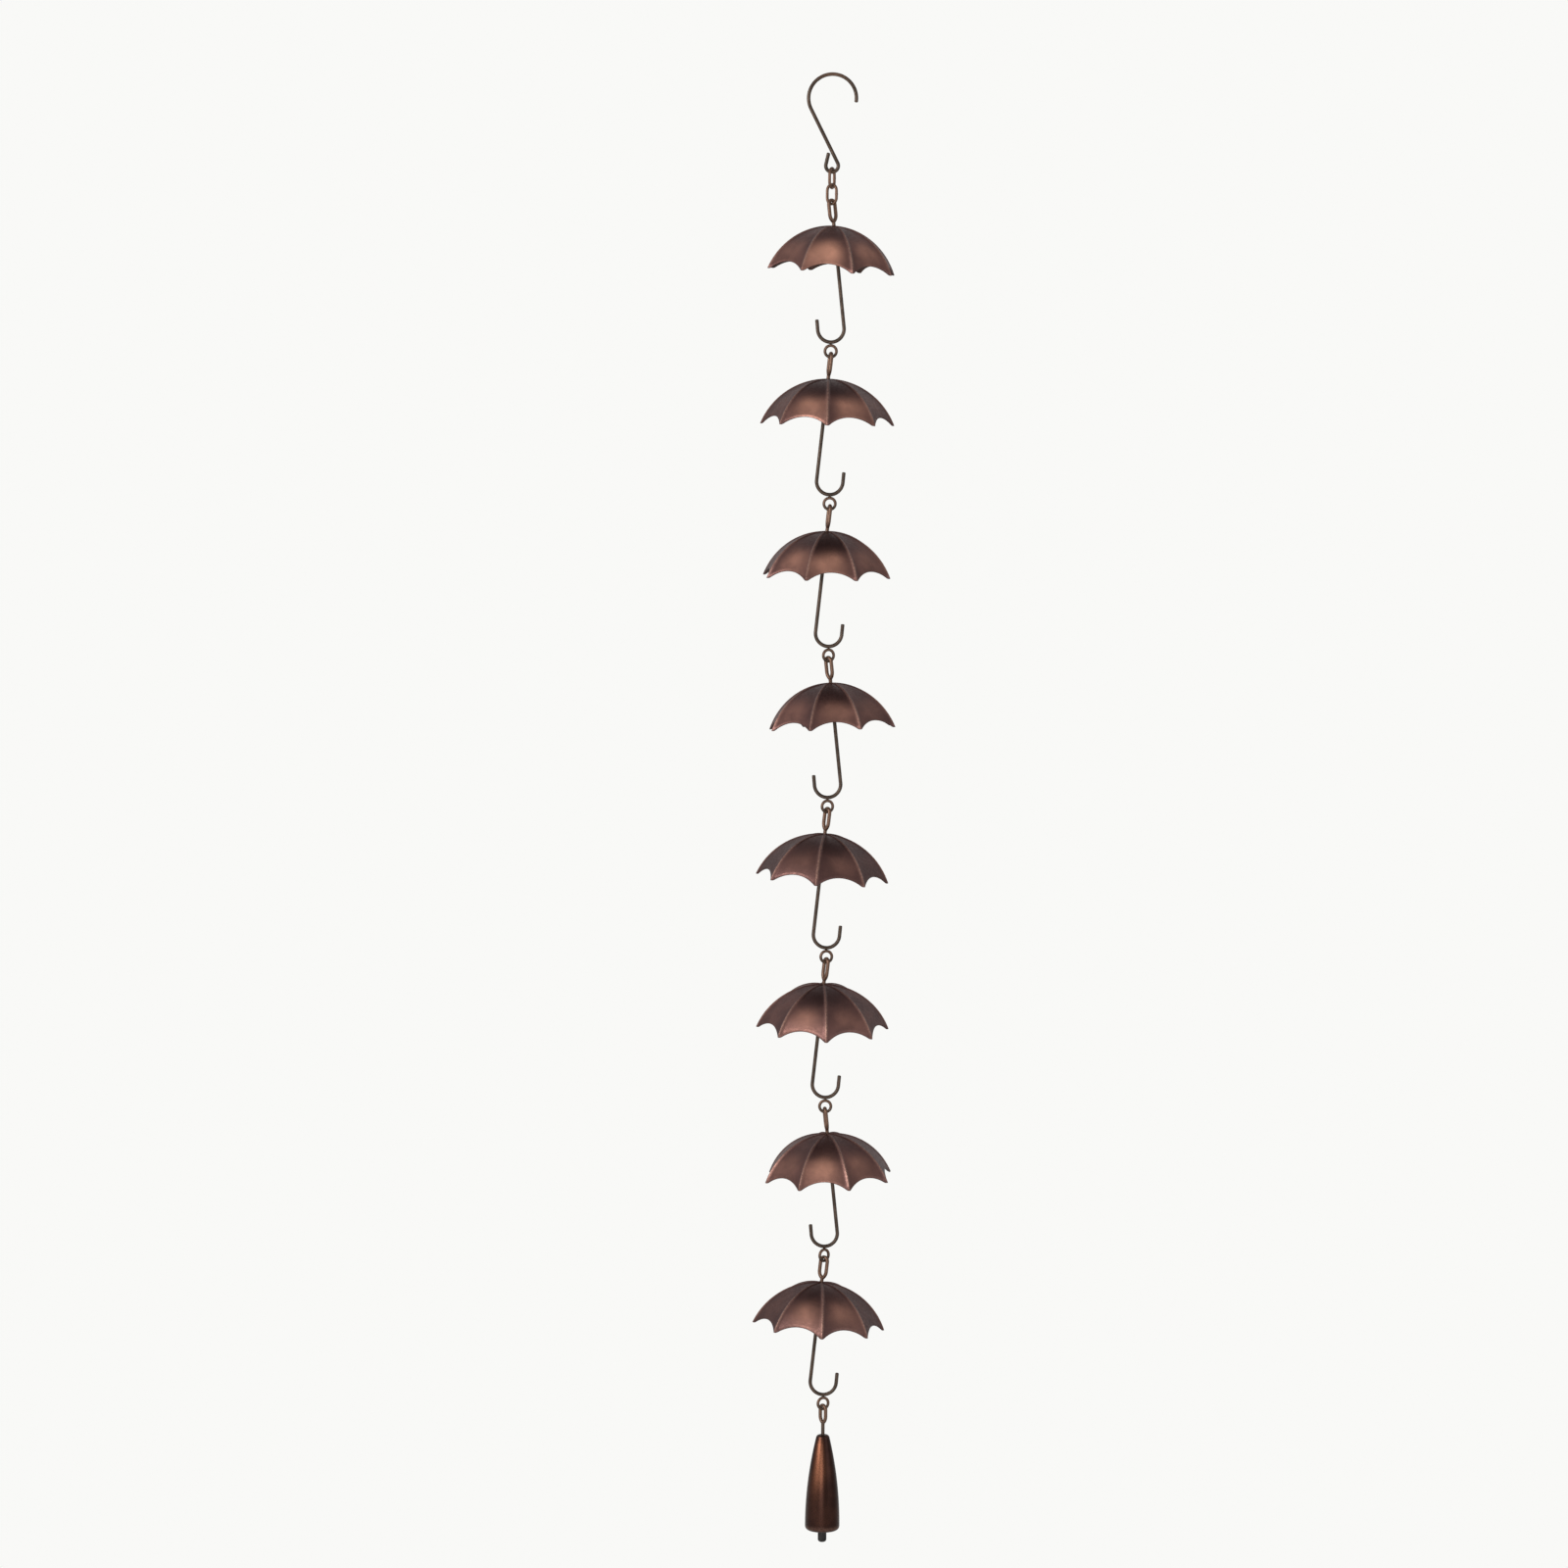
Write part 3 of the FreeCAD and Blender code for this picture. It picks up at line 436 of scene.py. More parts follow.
def tube(path, flat_normal, wire, closed=False, sides=20, dome=0.45):
    """Rows of a round wire: p + r (cos b side + sin b normal), with side = tangent x normal.

    flat_normal is the normal of the plane that the wire is bent in, one for all points or one for each. An
    open wire has domed ends: rows whose radius is r cos c, at dome * r * sin c past the last point.
    """
    radius = np.full(len(path), wire / 2)
    if closed:
        tangent = np.roll(path, -1, axis=0) - np.roll(path, 1, axis=0)
    else:
        tangent = np.gradient(path, axis=0)
    tangent /= np.linalg.norm(tangent, axis=1, keepdims=True)
    normal = np.broadcast_to(np.asarray(flat_normal, float), path.shape)
    if not closed:
        c = np.radians(DOME_ANGLES)[:, None]
        path = np.vstack([path[0] - tangent[0] * dome * wire / 2 * np.sin(c), path,
                          path[-1] + tangent[-1] * dome * wire / 2 * np.sin(c[::-1])])
        ends = (wire / 2 * np.cos(c))[:, 0]
        radius = np.concatenate([ends, radius, ends[::-1]])
        dome_rows = (len(DOME_ANGLES), 1)
        tangent = np.vstack([np.tile(tangent[0], dome_rows), tangent, np.tile(tangent[-1], dome_rows)])
        normal = np.vstack([np.tile(normal[0], dome_rows), normal, np.tile(normal[-1], dome_rows)])
    side = np.cross(tangent, normal)
    b = np.linspace(0, 2 * np.pi, sides, endpoint=False)
    section = np.cos(b)[None, :, None] * side[:, None] + np.sin(b)[None, :, None] * normal[:, None]
    return path[:, None] + radius[:, None, None] * section


# %% Where two wires rub
seats = np.array([[0, 0, z] for z in (hook_foot_z, link_1_foot_z, *pivots, clapper_pivot_z)])


def seat_rub(rows, reach=2.3):
    """How much a vertex is rubbed: exp(-(distance to the nearest seat / reach) squared)."""
    gap = np.linalg.norm(rows[..., None, :] - seats, axis=-1).min(axis=-1)
    return np.exp(-(gap / reach) ** 2)


def add_wire(name, rows, body, node_name, closed=False, brown_above=0.0):
    """A wire piece with two marks: its rubbed seats, and a browner tone above one height."""
    brown = 1 / (1 + np.exp(np.clip(brown_above - rows[..., 2], -40, 40) / 1.5))
    return add_piece(name, rows, closed, body, node_name, "wire", {"rubbed": seat_rub(rows), "warm": brown})


print("places where two wires rub:", len(seats))


# %% [markdown]
# ## The S-hook and the two oval links
#
# The S-hook is one length of wire: a tip, a large bend that goes over the gutter bar, a slanting shank
# and a small loop whose tail lies back against the shank. The links are short pieces of thinner wire bent
# to an oval, closed by a small weld in the middle of one side, so their section swells a little there.

# %% S-hook
Y_NORMAL = (0.0, 1.0, 0.0)
slant, tail = math.radians(HOOK_SLANT), math.radians(HOOK_TAIL_TURN)
tail_start = (-HOOK_LOOP * math.cos(tail), hook_loop_z + HOOK_LOOP * math.sin(tail))
upper_bend = bend((0, hook_bend_z), HOOK_BEND, -HOOK_OVERRUN, 180 + HOOK_SLANT, 72)
lower_loop = bend((0, hook_loop_z), HOOK_LOOP, 360 + HOOK_SLANT, 180 - HOOK_TAIL_TURN, 48)
hook_path = join(upper_bend, run(upper_bend[-1][[0, 2]], lower_loop[0][[0, 2]], 14), lower_loop,
                 run(tail_start, (tail_start[0] + HOOK_TAIL * math.sin(tail),
                                  tail_start[1] + HOOK_TAIL * math.cos(tail)), 8))
add_wire("s_hook_wire", tube(hook_path, Y_NORMAL, ROD), "s_hook", "s_hook")
hook_length = np.linalg.norm(np.diff(hook_path, axis=0), axis=1).sum()
print("the S-hook is bent from %.0f mm of wire" % hook_length)

# %% Oval links
WELD_SWELL, WELD_LENGTH = 0.10, 0.9
below_links = 2 * hook_foot_z  # far enough under both links to make them brown all over
half_width, half_side = LINK_WIDTH / 2, (LINK_LENGTH - LINK_WIDTH) / 2
oval = join(run((half_width, 0), (half_width, half_side), 7), bend((0, half_side), half_width, 0, 180, 30),
            run((-half_width, half_side), (-half_width, -half_side), 13),
            bend((0, -half_side), half_width, 180, 360, 30),
            run((half_width, -half_side), (half_width, 0), 7))[:-1]
for number, (middle_z, turn) in enumerate(zip((link_1_foot_z, link_2_foot_z), LINK_TURN), 1):
    flat = tube(oval, Y_NORMAL, RING_WIRE, closed=True)
    swell = 1 + WELD_SWELL * np.exp(-((oval[:, 2] / WELD_LENGTH) ** 2)) * (oval[:, 0] > 0)
    flat = oval[:, None] + (flat - oval[:, None]) * swell[:, None, None]
    link = turn_z(flat, turn) + (0, 0, middle_z + LINK_LENGTH / 2)
    name = f"upper_link_{number}"
    add_wire(f"{name}_wire", link, name, name, closed=True, brown_above=below_links)
print("oval links: %.1f by %.1f mm along the middle of the wire" % (LINK_LENGTH, LINK_WIDTH))

# %% [markdown]
# ## Handles and rings
#
# Each umbrella's handle is one wire. Its end is brazed at the neck, from where it goes up one leg of the
# oval eye, over the arch, down the other leg, through the canopy as the rod and round into the crook. The
# eye and the crook lie in different planes, so the plane's normal turns along the straight rod, where a
# round wire doesn't show it. The handle leans until its crook hangs straight under its eye. A small round
# ring is brazed under each crook, and the braze fills the corner between the two wires.

# %% Oval eye and handle
EASE = 2.0


def oval_eye(length):
    """An eye's path: up one leg, over the arch, down the other leg and on to the axis, upright again.

    Each leg is bent in by the angle whose cosine is 1 - r / (closing + ease), and the second leg is eased
    back upright by a smaller bend.
    """
    middle = SEAT - EYE_RADIUS
    leg_foot = middle - length + math.sqrt(2 * EYE_CLOSING * EYE_RADIUS - EYE_RADIUS ** 2)
    inward = math.degrees(math.acos(1 - EYE_RADIUS / (EYE_CLOSING + EASE)))
    inset = EYE_CLOSING - EYE_RADIUS
    closing = bend((-inset, leg_foot), EYE_CLOSING, 0, -inward, 14)
    eased_z = closing[-1][2] - EASE * math.sin(math.radians(inward))
    return join(bend((inset, leg_foot), EYE_CLOSING, 180 + inward, 180, 14),
                run((-EYE_RADIUS, leg_foot), (-EYE_RADIUS, middle), 8),
                bend((0, middle), EYE_RADIUS, 180, 0, 36),
                run((EYE_RADIUS, middle), (EYE_RADIUS, leg_foot), 8), closing,
                bend((EASE, eased_z), EASE, 180 - inward, 180, 9))


def twisting_normal(path, on_eye, on_rod, degrees):
    """Normals (-sin a, cos a, 0) along a wire, with a full on the eye and falling to 0 along the rod."""
    after = len(path) - on_eye - on_rod
    twist = np.concatenate([np.ones(on_eye), np.linspace(1, 0, on_rod), np.zeros(after)])
    a = np.radians(degrees * twist)
    return np.stack([-np.sin(a), np.cos(a), 0 * a], axis=-1)


def handle_rows(facing, eye_turn):
    """The handle's wire, hung from its eye, before it is moved down to its own height."""
    eye = turn_z(oval_eye(EYE_LENGTH - EYE_NECK), eye_turn - facing)
    rod = run((0, eye[-1][2]), (0, -CROOK_DROP), 24)
    crook = bend((CROOK_RADIUS, -CROOK_DROP), CROOK_RADIUS, 180, 180 + CROOK_TURN, 56)
    rise = math.radians(180 - CROOK_TURN)
    end = crook[-1] + CROOK_TIP * np.array([math.sin(rise), 0, math.cos(rise)])
    path = join(eye, rod, crook, run(crook[-1][[0, 2]], end[[0, 2]], 9))
    normal = twisting_normal(path, len(eye), len(rod) - 1, eye_turn - facing)
    return turn_z(turn_y(tube(path, normal, ROD), LEAN), facing)


# %% Braze bead under each canopy
BEAD_LENGTH, BEAD_NECK, BEAD_FLARE, BEAD_IN_SHEET = 4.4, 1.3, 1.25, 0.1


def bead_rows(facing, sides=28):
    """A drop of braze round the rod: radius neck + flare cos^2(90 s), with s from 0 at the sheet to 1."""
    top = -CROWN_DROP - CROWN_GAP - SHEET + BEAD_IN_SHEET
    s = np.linspace(0, 1, 16)
    radius = BEAD_NECK + BEAD_FLARE * np.cos(0.5 * np.pi * s) ** 2
    b = np.linspace(0, 2 * np.pi, sides, endpoint=False)
    level = (top - BEAD_LENGTH * s)[:, None] + 0 * b
    rows = np.stack([radius[:, None] * np.cos(b), radius[:, None] * np.sin(b), level], axis=-1)
    return turn_z(turn_y(rows, LEAN), facing)


# %% Braze between a crook and its ring
def fillet_rows(turn, sides=28):
    """A waisted collar of braze, from inside the crook's wire to inside the ring's.

    At height s of its length, from -1 to 1, it reaches 0.95 + 0.55 s^2 along the ring and 0.75 + 0.2 s^2
    across it.
    """
    s = np.linspace(-1, 1, 15)[:, None]
    b = np.linspace(0, 2 * np.pi, sides, endpoint=False)
    along, across = 0.95 + 0.55 * s ** 2, 0.75 + 0.2 * s ** 2
    rows = np.stack([along * np.cos(b), across * np.sin(b), 0.75 * s + 0 * b], axis=-1)
    return turn_z(rows, turn) - (0, 0, ROD / 2)


# %% Handles, beads and rings in place
ring_path = bend((0, 0), RING_RADIUS, 0, 360, 73)[:-1]
for number, pivot in enumerate(pivots[:UMBRELLAS], 1):
    body, facing, ring_turn = f"umbrella_{number}", CROOK_FACING[number - 1], RING_TURN[number - 1]
    down = np.array([0, 0, pivot])
    add_wire(f"handle_{number}_wire", handle_rows(facing, EYE_TURN[number - 1]) + down,
             body, f"handle_{number}", brown_above=pivot - CROWN_DROP)
    add_wire(f"handle_{number}_bead", bead_rows(facing) + down, body, None)
    foot = np.array([0, 0, crook_feet[number - 1]])
    ring = turn_z(tube(ring_path, Y_NORMAL, RING_WIRE, closed=True), ring_turn)
    add_wire(f"ring_{number}_wire", ring + foot - (0, 0, RING_DROP), body, f"ring_{number}",
             closed=True, brown_above=foot[2] - RING_DROP)
    add_wire(f"ring_{number}_braze", fillet_rows(ring_turn) + foot, body, None)
print("handles and rings:", UMBRELLAS, "of each")

# %% [markdown]
# ## Canopies
#
# A canopy is one stamped sheet. Its eight ribs are arcs of a circle, and each panel runs straight from
# rib to rib, so every level line is an octagon. That gives the formula: a direction in plan picks a place
# across its panel, and a distance down the rib picks the level. The rim is the line where a round cutter
# across each panel would leave the sheet. The ribs are pressed up as soft ridges that widen towards the
# rim. Modelling one panel and turning it eight times would also work, but the eight real canopies differ,
# so each gets its own slight unevenness.

# %% Lie of the canopy
HALF_PANEL = math.radians(180 / PANELS)
COS_HALF = math.cos(HALF_PANEL)
RIB_ARC = (CANOPY_RADIUS ** 2 + CANOPY_DEPTH ** 2) / (2 * CANOPY_DEPTH)
HALF_CHORD = CANOPY_RADIUS * math.sin(HALF_PANEL)
CUTTER = (HALF_CHORD ** 2 + SCALLOP ** 2) / (2 * SCALLOP)
TIP_ROUND, TIP_SPREAD = 0.45, 0.8
ACROSS, DOWN = 24, 40
step = np.linspace(-1, 1, ACROSS, endpoint=False)
within = HALF_PANEL * np.sign(step) * (1 - (1 - np.abs(step)) ** 1.8)
offset = np.tile(within, PANELS)
panel = np.repeat(np.arange(PANELS), ACROSS)
direction = offset + HALF_PANEL * (2 * panel + 1)


def rim_reach():
    """Rib distance at which each direction meets the scalloped rim.

    A level z on the panel lies sqrt(R^2 - (R + z)^2) out along the rib, and the cutter leaves the sheet above
    z = z0 + sqrt(cutter^2 - across^2). The two are worked in turn until they agree. The tips are then rounded
    off by h exp(-(d / w)^2) at d from a rib.
    """
    out = np.full(offset.shape, CANOPY_RADIUS)
    for _ in range(30):
        across = out * COS_HALF * np.tan(offset)
        chord = np.minimum(across ** 2, HALF_CHORD ** 2)
        level = -CANOPY_DEPTH - CUTTER + SCALLOP + np.sqrt(CUTTER ** 2 - chord)
        out = np.sqrt(RIB_ARC ** 2 - (RIB_ARC + np.minimum(level, 0)) ** 2)
    beside_rib = CANOPY_RADIUS * np.sin(HALF_PANEL - np.abs(offset))
    return np.minimum(out, CANOPY_RADIUS) - TIP_ROUND * np.exp(-(beside_rib / TIP_SPREAD) ** 2)


print("canopy rim: %.1f mm at a rib, %.1f mm in a panel's middle" % (rim_reach().max(), rim_reach().min()))

# %% Sheet of one canopy
HOLE = ROD / 2 + CROWN_PLAY
RIB_RISE, RIB_RISE_INSIDE, RIB_WIDTH, RIB_WIDENING = 0.70, 0.55, 1.25, 0.95
UNEVENNESS, RIM_BULGE, RIM_SET_BACK = 0.10, 0.3, 0.1


def canopy_rows(number):
    """Rows of a closed sheet: down the outside, round the rim and up the inside, with its marks.

    With rib distance q, a point lies q cos(22.5) / cos(offset) out in its direction, at sqrt(R^2 - q^2) - R.
    It is moved along the line from the dome's middle by the ridge, h (1 + cos(pi d / w)) / 2 at d from the
    rib, and by a few slow waves, and the inside is a sheet's thickness further in.
    """
    rng = np.random.default_rng(40 + number)
    t = np.linspace(0, 1, DOWN)[:, None]
    start = HOLE * np.cos(offset) / COS_HALF
    q = start + (rim_reach() - start) * t
    radius = q * COS_HALF / np.cos(offset)
    base = np.stack([radius * np.cos(direction), radius * np.sin(direction),
                     np.sqrt(RIB_ARC ** 2 - q ** 2) - RIB_ARC], axis=-1)
    outward = base + (0, 0, RIB_ARC)
    outward /= np.linalg.norm(outward, axis=-1, keepdims=True)
    beside_rib = radius * np.sin(HALF_PANEL - np.abs(offset))
    width = RIB_WIDTH + RIB_WIDENING * t
    ridge = 0.5 * (1 + np.cos(np.pi * np.minimum(beside_rib / width, 1)))
    phase = rng.uniform(0, 2 * np.pi, 6)
    waves = (np.sin(3 * direction + phase[0] + 4 * t) + np.sin(5 * direction + phase[1] - 5 * t)
             + np.sin(7 * direction + phase[2]) * np.sin(6 * t + phase[3]))
    uneven = UNEVENNESS * waves * np.sin(np.pi * t) ** 0.7 * (1 - ridge)
    outside = base + outward * (RIB_RISE * ridge + uneven)[..., None]
    inner_ridge = RIB_RISE_INSIDE * ridge * np.minimum(t, 0.9)
    inside = base + outward * (inner_ridge + uneven - SHEET)[..., None]
    rim_middle = (outside[-1] + inside[-1]) / 2
    rim_normal = rim_middle - (outside[-3] + inside[-3]) / 2
    rim_normal /= np.linalg.norm(rim_normal, axis=-1, keepdims=True)
    thick = (outside[-1] - inside[-1]) / 2
    c = np.radians([50, 0, -50])[:, None, None]
    edge = (rim_middle - rim_normal * RIM_SET_BACK + thick * np.sin(c) * 0.96
            + rim_normal * RIM_BULGE * np.cos(c))
    rows = np.concatenate([outside, edge, inside[::-1]])
    return rows, canopy_marks(number, t, ridge, rng, len(edge))


# %% [markdown]
# The marks follow the panels. The bloom is a dark cloud under the crown that ends in a soft tongue on
# each panel. It is deeper and darker on the panels that face the front, where it is a painted dark
# reflection over the heat bloom. The warm copper lies below it in the lower middle of the panel, as a
# painted highlight on those same panels. Each panel has its own strength, so no two canopies and no two
# sides are the same.

# %% Flame marks of one canopy
BLOOM_AND_DARK_REFLECTION = (0.4, 0.9, 1.0, 0.9, 1.0, 1.0, 0.75, 0.9)
WARM_AND_HIGHLIGHT = (1.0, 1.0, 1.0, 0.45, 0.2, 0.35, 0.65, 0.42)
WARM_AND_HIGHLIGHT_MIDDLE = (0.84, 0.86, 0.86, 0.86, 0.86, 0.86, 0.84, 0.82)
EVEN_DARK_SHARE = (0.06, 0.15, 0.04, 0.1, 0.42, 0.12, 0.12, 0.38)


def canopy_marks(number, t, ridge, rng, edge_rows):
    """Marks for the rows of a canopy: bloom, warm, rubbed and inside, each from 0 to 1.

    A panel's share is a power of (1 + cos a) / 2, with a its angle from the front, so the panels that face
    the front carry a painted dark reflection in the bloom and a painted warm highlight. The bloom falls by a
    smooth step at the tongue's end, which lies lower in a panel's middle, and the warm copper is a bell curve
    down the panel times one across it.
    """
    place = np.abs(offset) / HALF_PANEL
    middle = HALF_PANEL * (2 * panel + 1) + math.radians(CANOPY_TURN[number - 1])
    # Panels that face the front get the painted dark reflection and the painted warm highlight.
    facing_front = 0.5 * (1 - np.sin(middle))
    depth = 0.24 + 0.40 * facing_front ** 2 + rng.uniform(-0.07, 0.07, PANELS)[panel]
    strength = np.clip(0.12 + 0.82 * facing_front ** 5 + rng.uniform(-0.1, 0.1, PANELS)[panel], 0, 1)
    skew = rng.uniform(-0.3, 0.3, PANELS)[panel] * np.sign(offset) * place
    below_tongue = t - depth - 0.12 * (1 - place ** 2) - 0.14 * skew
    bloom = strength / (1 + np.exp(below_tongue / 0.075)) * BLOOM_AND_DARK_REFLECTION[number - 1]
    flicker = 1.0 + rng.uniform(-0.3, 0.3, PANELS)[panel]
    # The warm copper lies only on the panels that face the front: a painted highlight.
    warm_and_highlight_strength = np.clip(facing_front ** 8 * flicker, 0, 1) * WARM_AND_HIGHLIGHT[number - 1]
    warm_and_highlight_middle = WARM_AND_HIGHLIGHT_MIDDLE[number - 1]
    from_middle = (t - warm_and_highlight_middle) / (1.06 - warm_and_highlight_middle) / 0.75
    from_side = (place - 0.05 + skew) / 0.7
    warm = np.exp(-from_middle ** 2) * np.exp(-from_side ** 2) * warm_and_highlight_strength
    # Each canopy is also darkened evenly all round by its own share.
    bloom = np.maximum(bloom, EVEN_DARK_SHARE[number - 1] * (1 - warm))
    # The ribs are lighter by rubbed wear and by a painted highlight, which fades just above the tips.
    rib_wear_and_highlight = np.clip(ridge ** 1.6 * (0.1 + 0.9 * t), 0, 1) * (1 - 0.8 * np.exp(-((1 - t) / 0.04) ** 2))
    outside = {"bloom": bloom * (1 - 0.75 * ridge), "warm": warm, "rubbed": rib_wear_and_highlight, "inside": 0 * ridge}
    # The inside of the sheet is marked for painted shade.
    within_sheet = {"bloom": 0.3 * bloom, "warm": 0.2 * warm, "rubbed": 0.15 * rib_wear_and_highlight, "inside": 1 + 0 * ridge}
    marks = {}
    for name, values in outside.items():
        edge = np.repeat(values[-1:] * 0.6, edge_rows, axis=0)
        marks[name] = np.concatenate([values, edge, within_sheet[name][::-1]])
    # The edge of the rim is set dark: painted shade along the edge.
    marks["bloom"][DOWN:DOWN + edge_rows] = 0.8
    return marks


# %% Canopies in place
for number, pivot in enumerate(pivots[:UMBRELLAS], 1):
    rows, marks = canopy_rows(number)
    lean = math.radians(LEAN) * math.cos(math.radians(CROOK_FACING[number - 1]))
    drop = CROWN_DROP + CROWN_GAP
    crown = np.array([-drop * math.sin(lean), 0, pivot - drop * math.cos(lean)])
    rows = turn_x(turn_z(rows, CANOPY_TURN[number - 1]), CANOPY_NOD[number - 1])
    rows = turn_y(rows, CANOPY_TILT[number - 1]) + crown
    add_piece(f"canopy_{number}_sheet", rows, True, f"umbrella_{number}", f"canopy_{number}", "canopy", marks)

# %% [markdown]
# ## The bell, its wire and its clapper
#
# The bell is a spun shell, so it is a section turned round its axis: a flat top with a hole, a rounded
# shoulder, one long side that swells very slightly, and a rolled-in lip. The section goes down the
# outside and back up the inside, so the wall has its real thickness. The wire that carries it has the
# same oval eye as the umbrellas, a stem through the hole and a loop inside, where the clapper hangs.

# %% Turn a section round the chain's axis
def lathe(section, sides):
    """Rows of a turned piece: (r cos b, r sin b, z) for each point (r, z) of the section."""
    b = np.linspace(0, 2 * np.pi, sides, endpoint=False)
    r, z = section[:, :1], section[:, 1:]
    return np.stack([r * np.cos(b), r * np.sin(b), z + 0 * b], axis=-1)


def sweep_section(centre, radius, first, last, count):
    """Part of a circle in a section, (r, z), between two angles in degrees."""
    return bend(centre, radius, first, last, count)[:, [0, 2]]


# %% Bell
BELL_SIDES = 72
waist = BELL_LIP - BELL_HEIGHT
BELL_SIDE = (waist ** 2 + (BELL_WIDEST - BELL_TOP) ** 2) / (2 * (BELL_WIDEST - BELL_TOP))
side_x, lip_x = BELL_WIDEST - BELL_SIDE, BELL_WIDEST - BELL_LIP
shoulder_x = side_x + math.sqrt((BELL_SIDE - BELL_SHOULDER) ** 2 - (-BELL_SHOULDER - waist) ** 2)
leaves = math.degrees(math.atan2(-BELL_SHOULDER - waist, shoulder_x - side_x))
hole = ROD / 2 + BELL_HOLE_PLAY
bell_outside = np.vstack([
    np.linspace((hole, 0), (shoulder_x, 0), 8)[:-1],
    sweep_section((shoulder_x, -BELL_SHOULDER), BELL_SHOULDER, 90, leaves, 14),
    sweep_section((side_x, waist), BELL_SIDE, leaves, 0, 44)[1:],
    sweep_section((lip_x, waist), BELL_LIP, 0, -90, 16)[1:],
])
bell_section = np.vstack([
    bell_outside,
    sweep_section((lip_x, waist), BELL_LIP - BELL_WALL, -90, 0, 14),
    sweep_section((side_x, waist), BELL_SIDE - BELL_WALL, 0, leaves, 40)[1:],
    sweep_section((shoulder_x, -BELL_SHOULDER), BELL_SHOULDER - BELL_WALL, leaves, 90, 10)[1:],
    np.linspace((shoulder_x, -BELL_WALL), (hole, -BELL_WALL), 6)[1:],
])
bell_rows = lathe(bell_section, BELL_SIDES)
print("bell: %.1f mm long, %.1f mm wide" % (BELL_HEIGHT, 2 * BELL_WIDEST))

# %% [markdown]
# The bell's warm band is a painted highlight that runs down its front from just under the shoulder to half
# its height, weaving a little, and its lip and shoulder are rubbed. Each is a smooth step or a bell curve
# of the share of the height, from 0 at the top. The inside is darkened as painted shade.

# %% Bell's marks
# BELL_HIGHLIGHT_SIDE is the side where the painted highlight band runs.
BELL_HIGHLIGHT_SIDE = np.radians(244)
height_share = -bell_section[:, 1:] / BELL_HEIGHT
b = np.linspace(0, 2 * np.pi, BELL_SIDES, endpoint=False)[None]
from_highlight_side = np.angle(np.exp(1j * (b - BELL_HIGHLIGHT_SIDE - 0.10 * np.sin(5 * height_share))))
above_middle = 1 / (1 + np.exp((height_share - 0.50) / 0.06))
below_shoulder = 1 / (1 + np.exp((0.05 - height_share) / 0.02))
lip_rub = np.exp(-((height_share - 0.965) / 0.02) ** 2)
shoulder_rub = 0.5 * np.exp(-((height_share - 0.012) / 0.012) ** 2)
outside = (np.arange(len(bell_section))[:, None] < len(bell_outside)).astype(float)
bell_marks = {
    "warm": np.exp(-(from_highlight_side / 0.42) ** 2) * above_middle * below_shoulder * outside,
    "rubbed": outside * (lip_rub + shoulder_rub) + 0 * b,
    # The inner wall, darkened in the finish as painted shade.
    "inside": 1 - outside + 0 * b,
}
add_piece("bell_shell", bell_rows + (0, 0, bell_top_z), True, "bell", "bell", "bell", bell_marks)

# %% Bell wire
bell_eye = turn_z(oval_eye(BELL_EYE), BELL_EYE_TURN)
stem_top, stem_foot = bell_eye[-1][2], bell_loop_z + BELL_LOOP - pivots[UMBRELLAS]
stem = run((0, stem_top), (0, stem_foot), 14)
bell_path = join(bell_eye, stem, bend((0, bell_loop_z - pivots[UMBRELLAS]), BELL_LOOP, 90, 440, 40))
bell_normal = twisting_normal(bell_path, len(bell_eye), len(stem) - 1, BELL_EYE_TURN)
add_wire("bell_wire_bent", tube(bell_path, bell_normal, ROD) + (0, 0, pivots[UMBRELLAS]), "bell", "bell_wire",
         brown_above=pivots[UMBRELLAS] - BELL_EYE)
print("bell wire: %.1f mm of stem between its eye and its loop" % (stem_top - stem_foot))

# %% Clapper's hanger and striker
hanger_eye_z = clapper_pivot_z + (ROD + CLAPPER_WIRE) / 2 + PLAY - CLAPPER_EYE
striker_top_z = bell_top_z - (BELL_HEIGHT + CLAPPER_REACH - CLAPPER_LENGTH)
hanger_path = join(bend((0, hanger_eye_z), CLAPPER_EYE, -85, 270, 40),
                   run((0, hanger_eye_z - CLAPPER_EYE), (0, striker_top_z - STEM_DEPTH), 16))
add_wire("clapper_hanger", turn_z(tube(hanger_path, Y_NORMAL, CLAPPER_WIRE), 90), "clapper", "clapper_wire")

foot_x = CLAPPER_RADIUS - CLAPPER_FOOT
striker_section = np.vstack([
    np.linspace((CLAPPER_SOCKET, 0), (CLAPPER_RADIUS - CLAPPER_EDGE, 0), 5)[:-1],
    sweep_section((CLAPPER_RADIUS - CLAPPER_EDGE, -CLAPPER_EDGE), CLAPPER_EDGE, 90, 0, 7),
    np.linspace((CLAPPER_RADIUS, -CLAPPER_EDGE), (CLAPPER_RADIUS, CLAPPER_FOOT - CLAPPER_LENGTH), 22)[1:],
    sweep_section((foot_x, CLAPPER_FOOT - CLAPPER_LENGTH), CLAPPER_FOOT, 0, -88, 12)[1:],
    np.linspace((foot_x, -CLAPPER_LENGTH), (0.05, -CLAPPER_LENGTH), 4)[1:],
])
striker = lathe(striker_section, 40)
struck = np.exp(-((striker[..., 2] + CLAPPER_LENGTH - CLAPPER_REACH) / 1.6) ** 2)
add_piece("clapper_striker", striker + (0, 0, striker_top_z), False, "clapper", "clapper", "clapper",
          {"rubbed": struck})
print("the striker reaches %.1f mm below the bell's lip" % CLAPPER_REACH)

# %% [markdown]
# ## How well the new pieces sit on the solids
#
# Each piece stands for a CAD node, so its box should be that node's box to about half a millimetre, which
# the rounded tips of the canopies take up. Printing the largest differences catches a slip in any formula
# above.

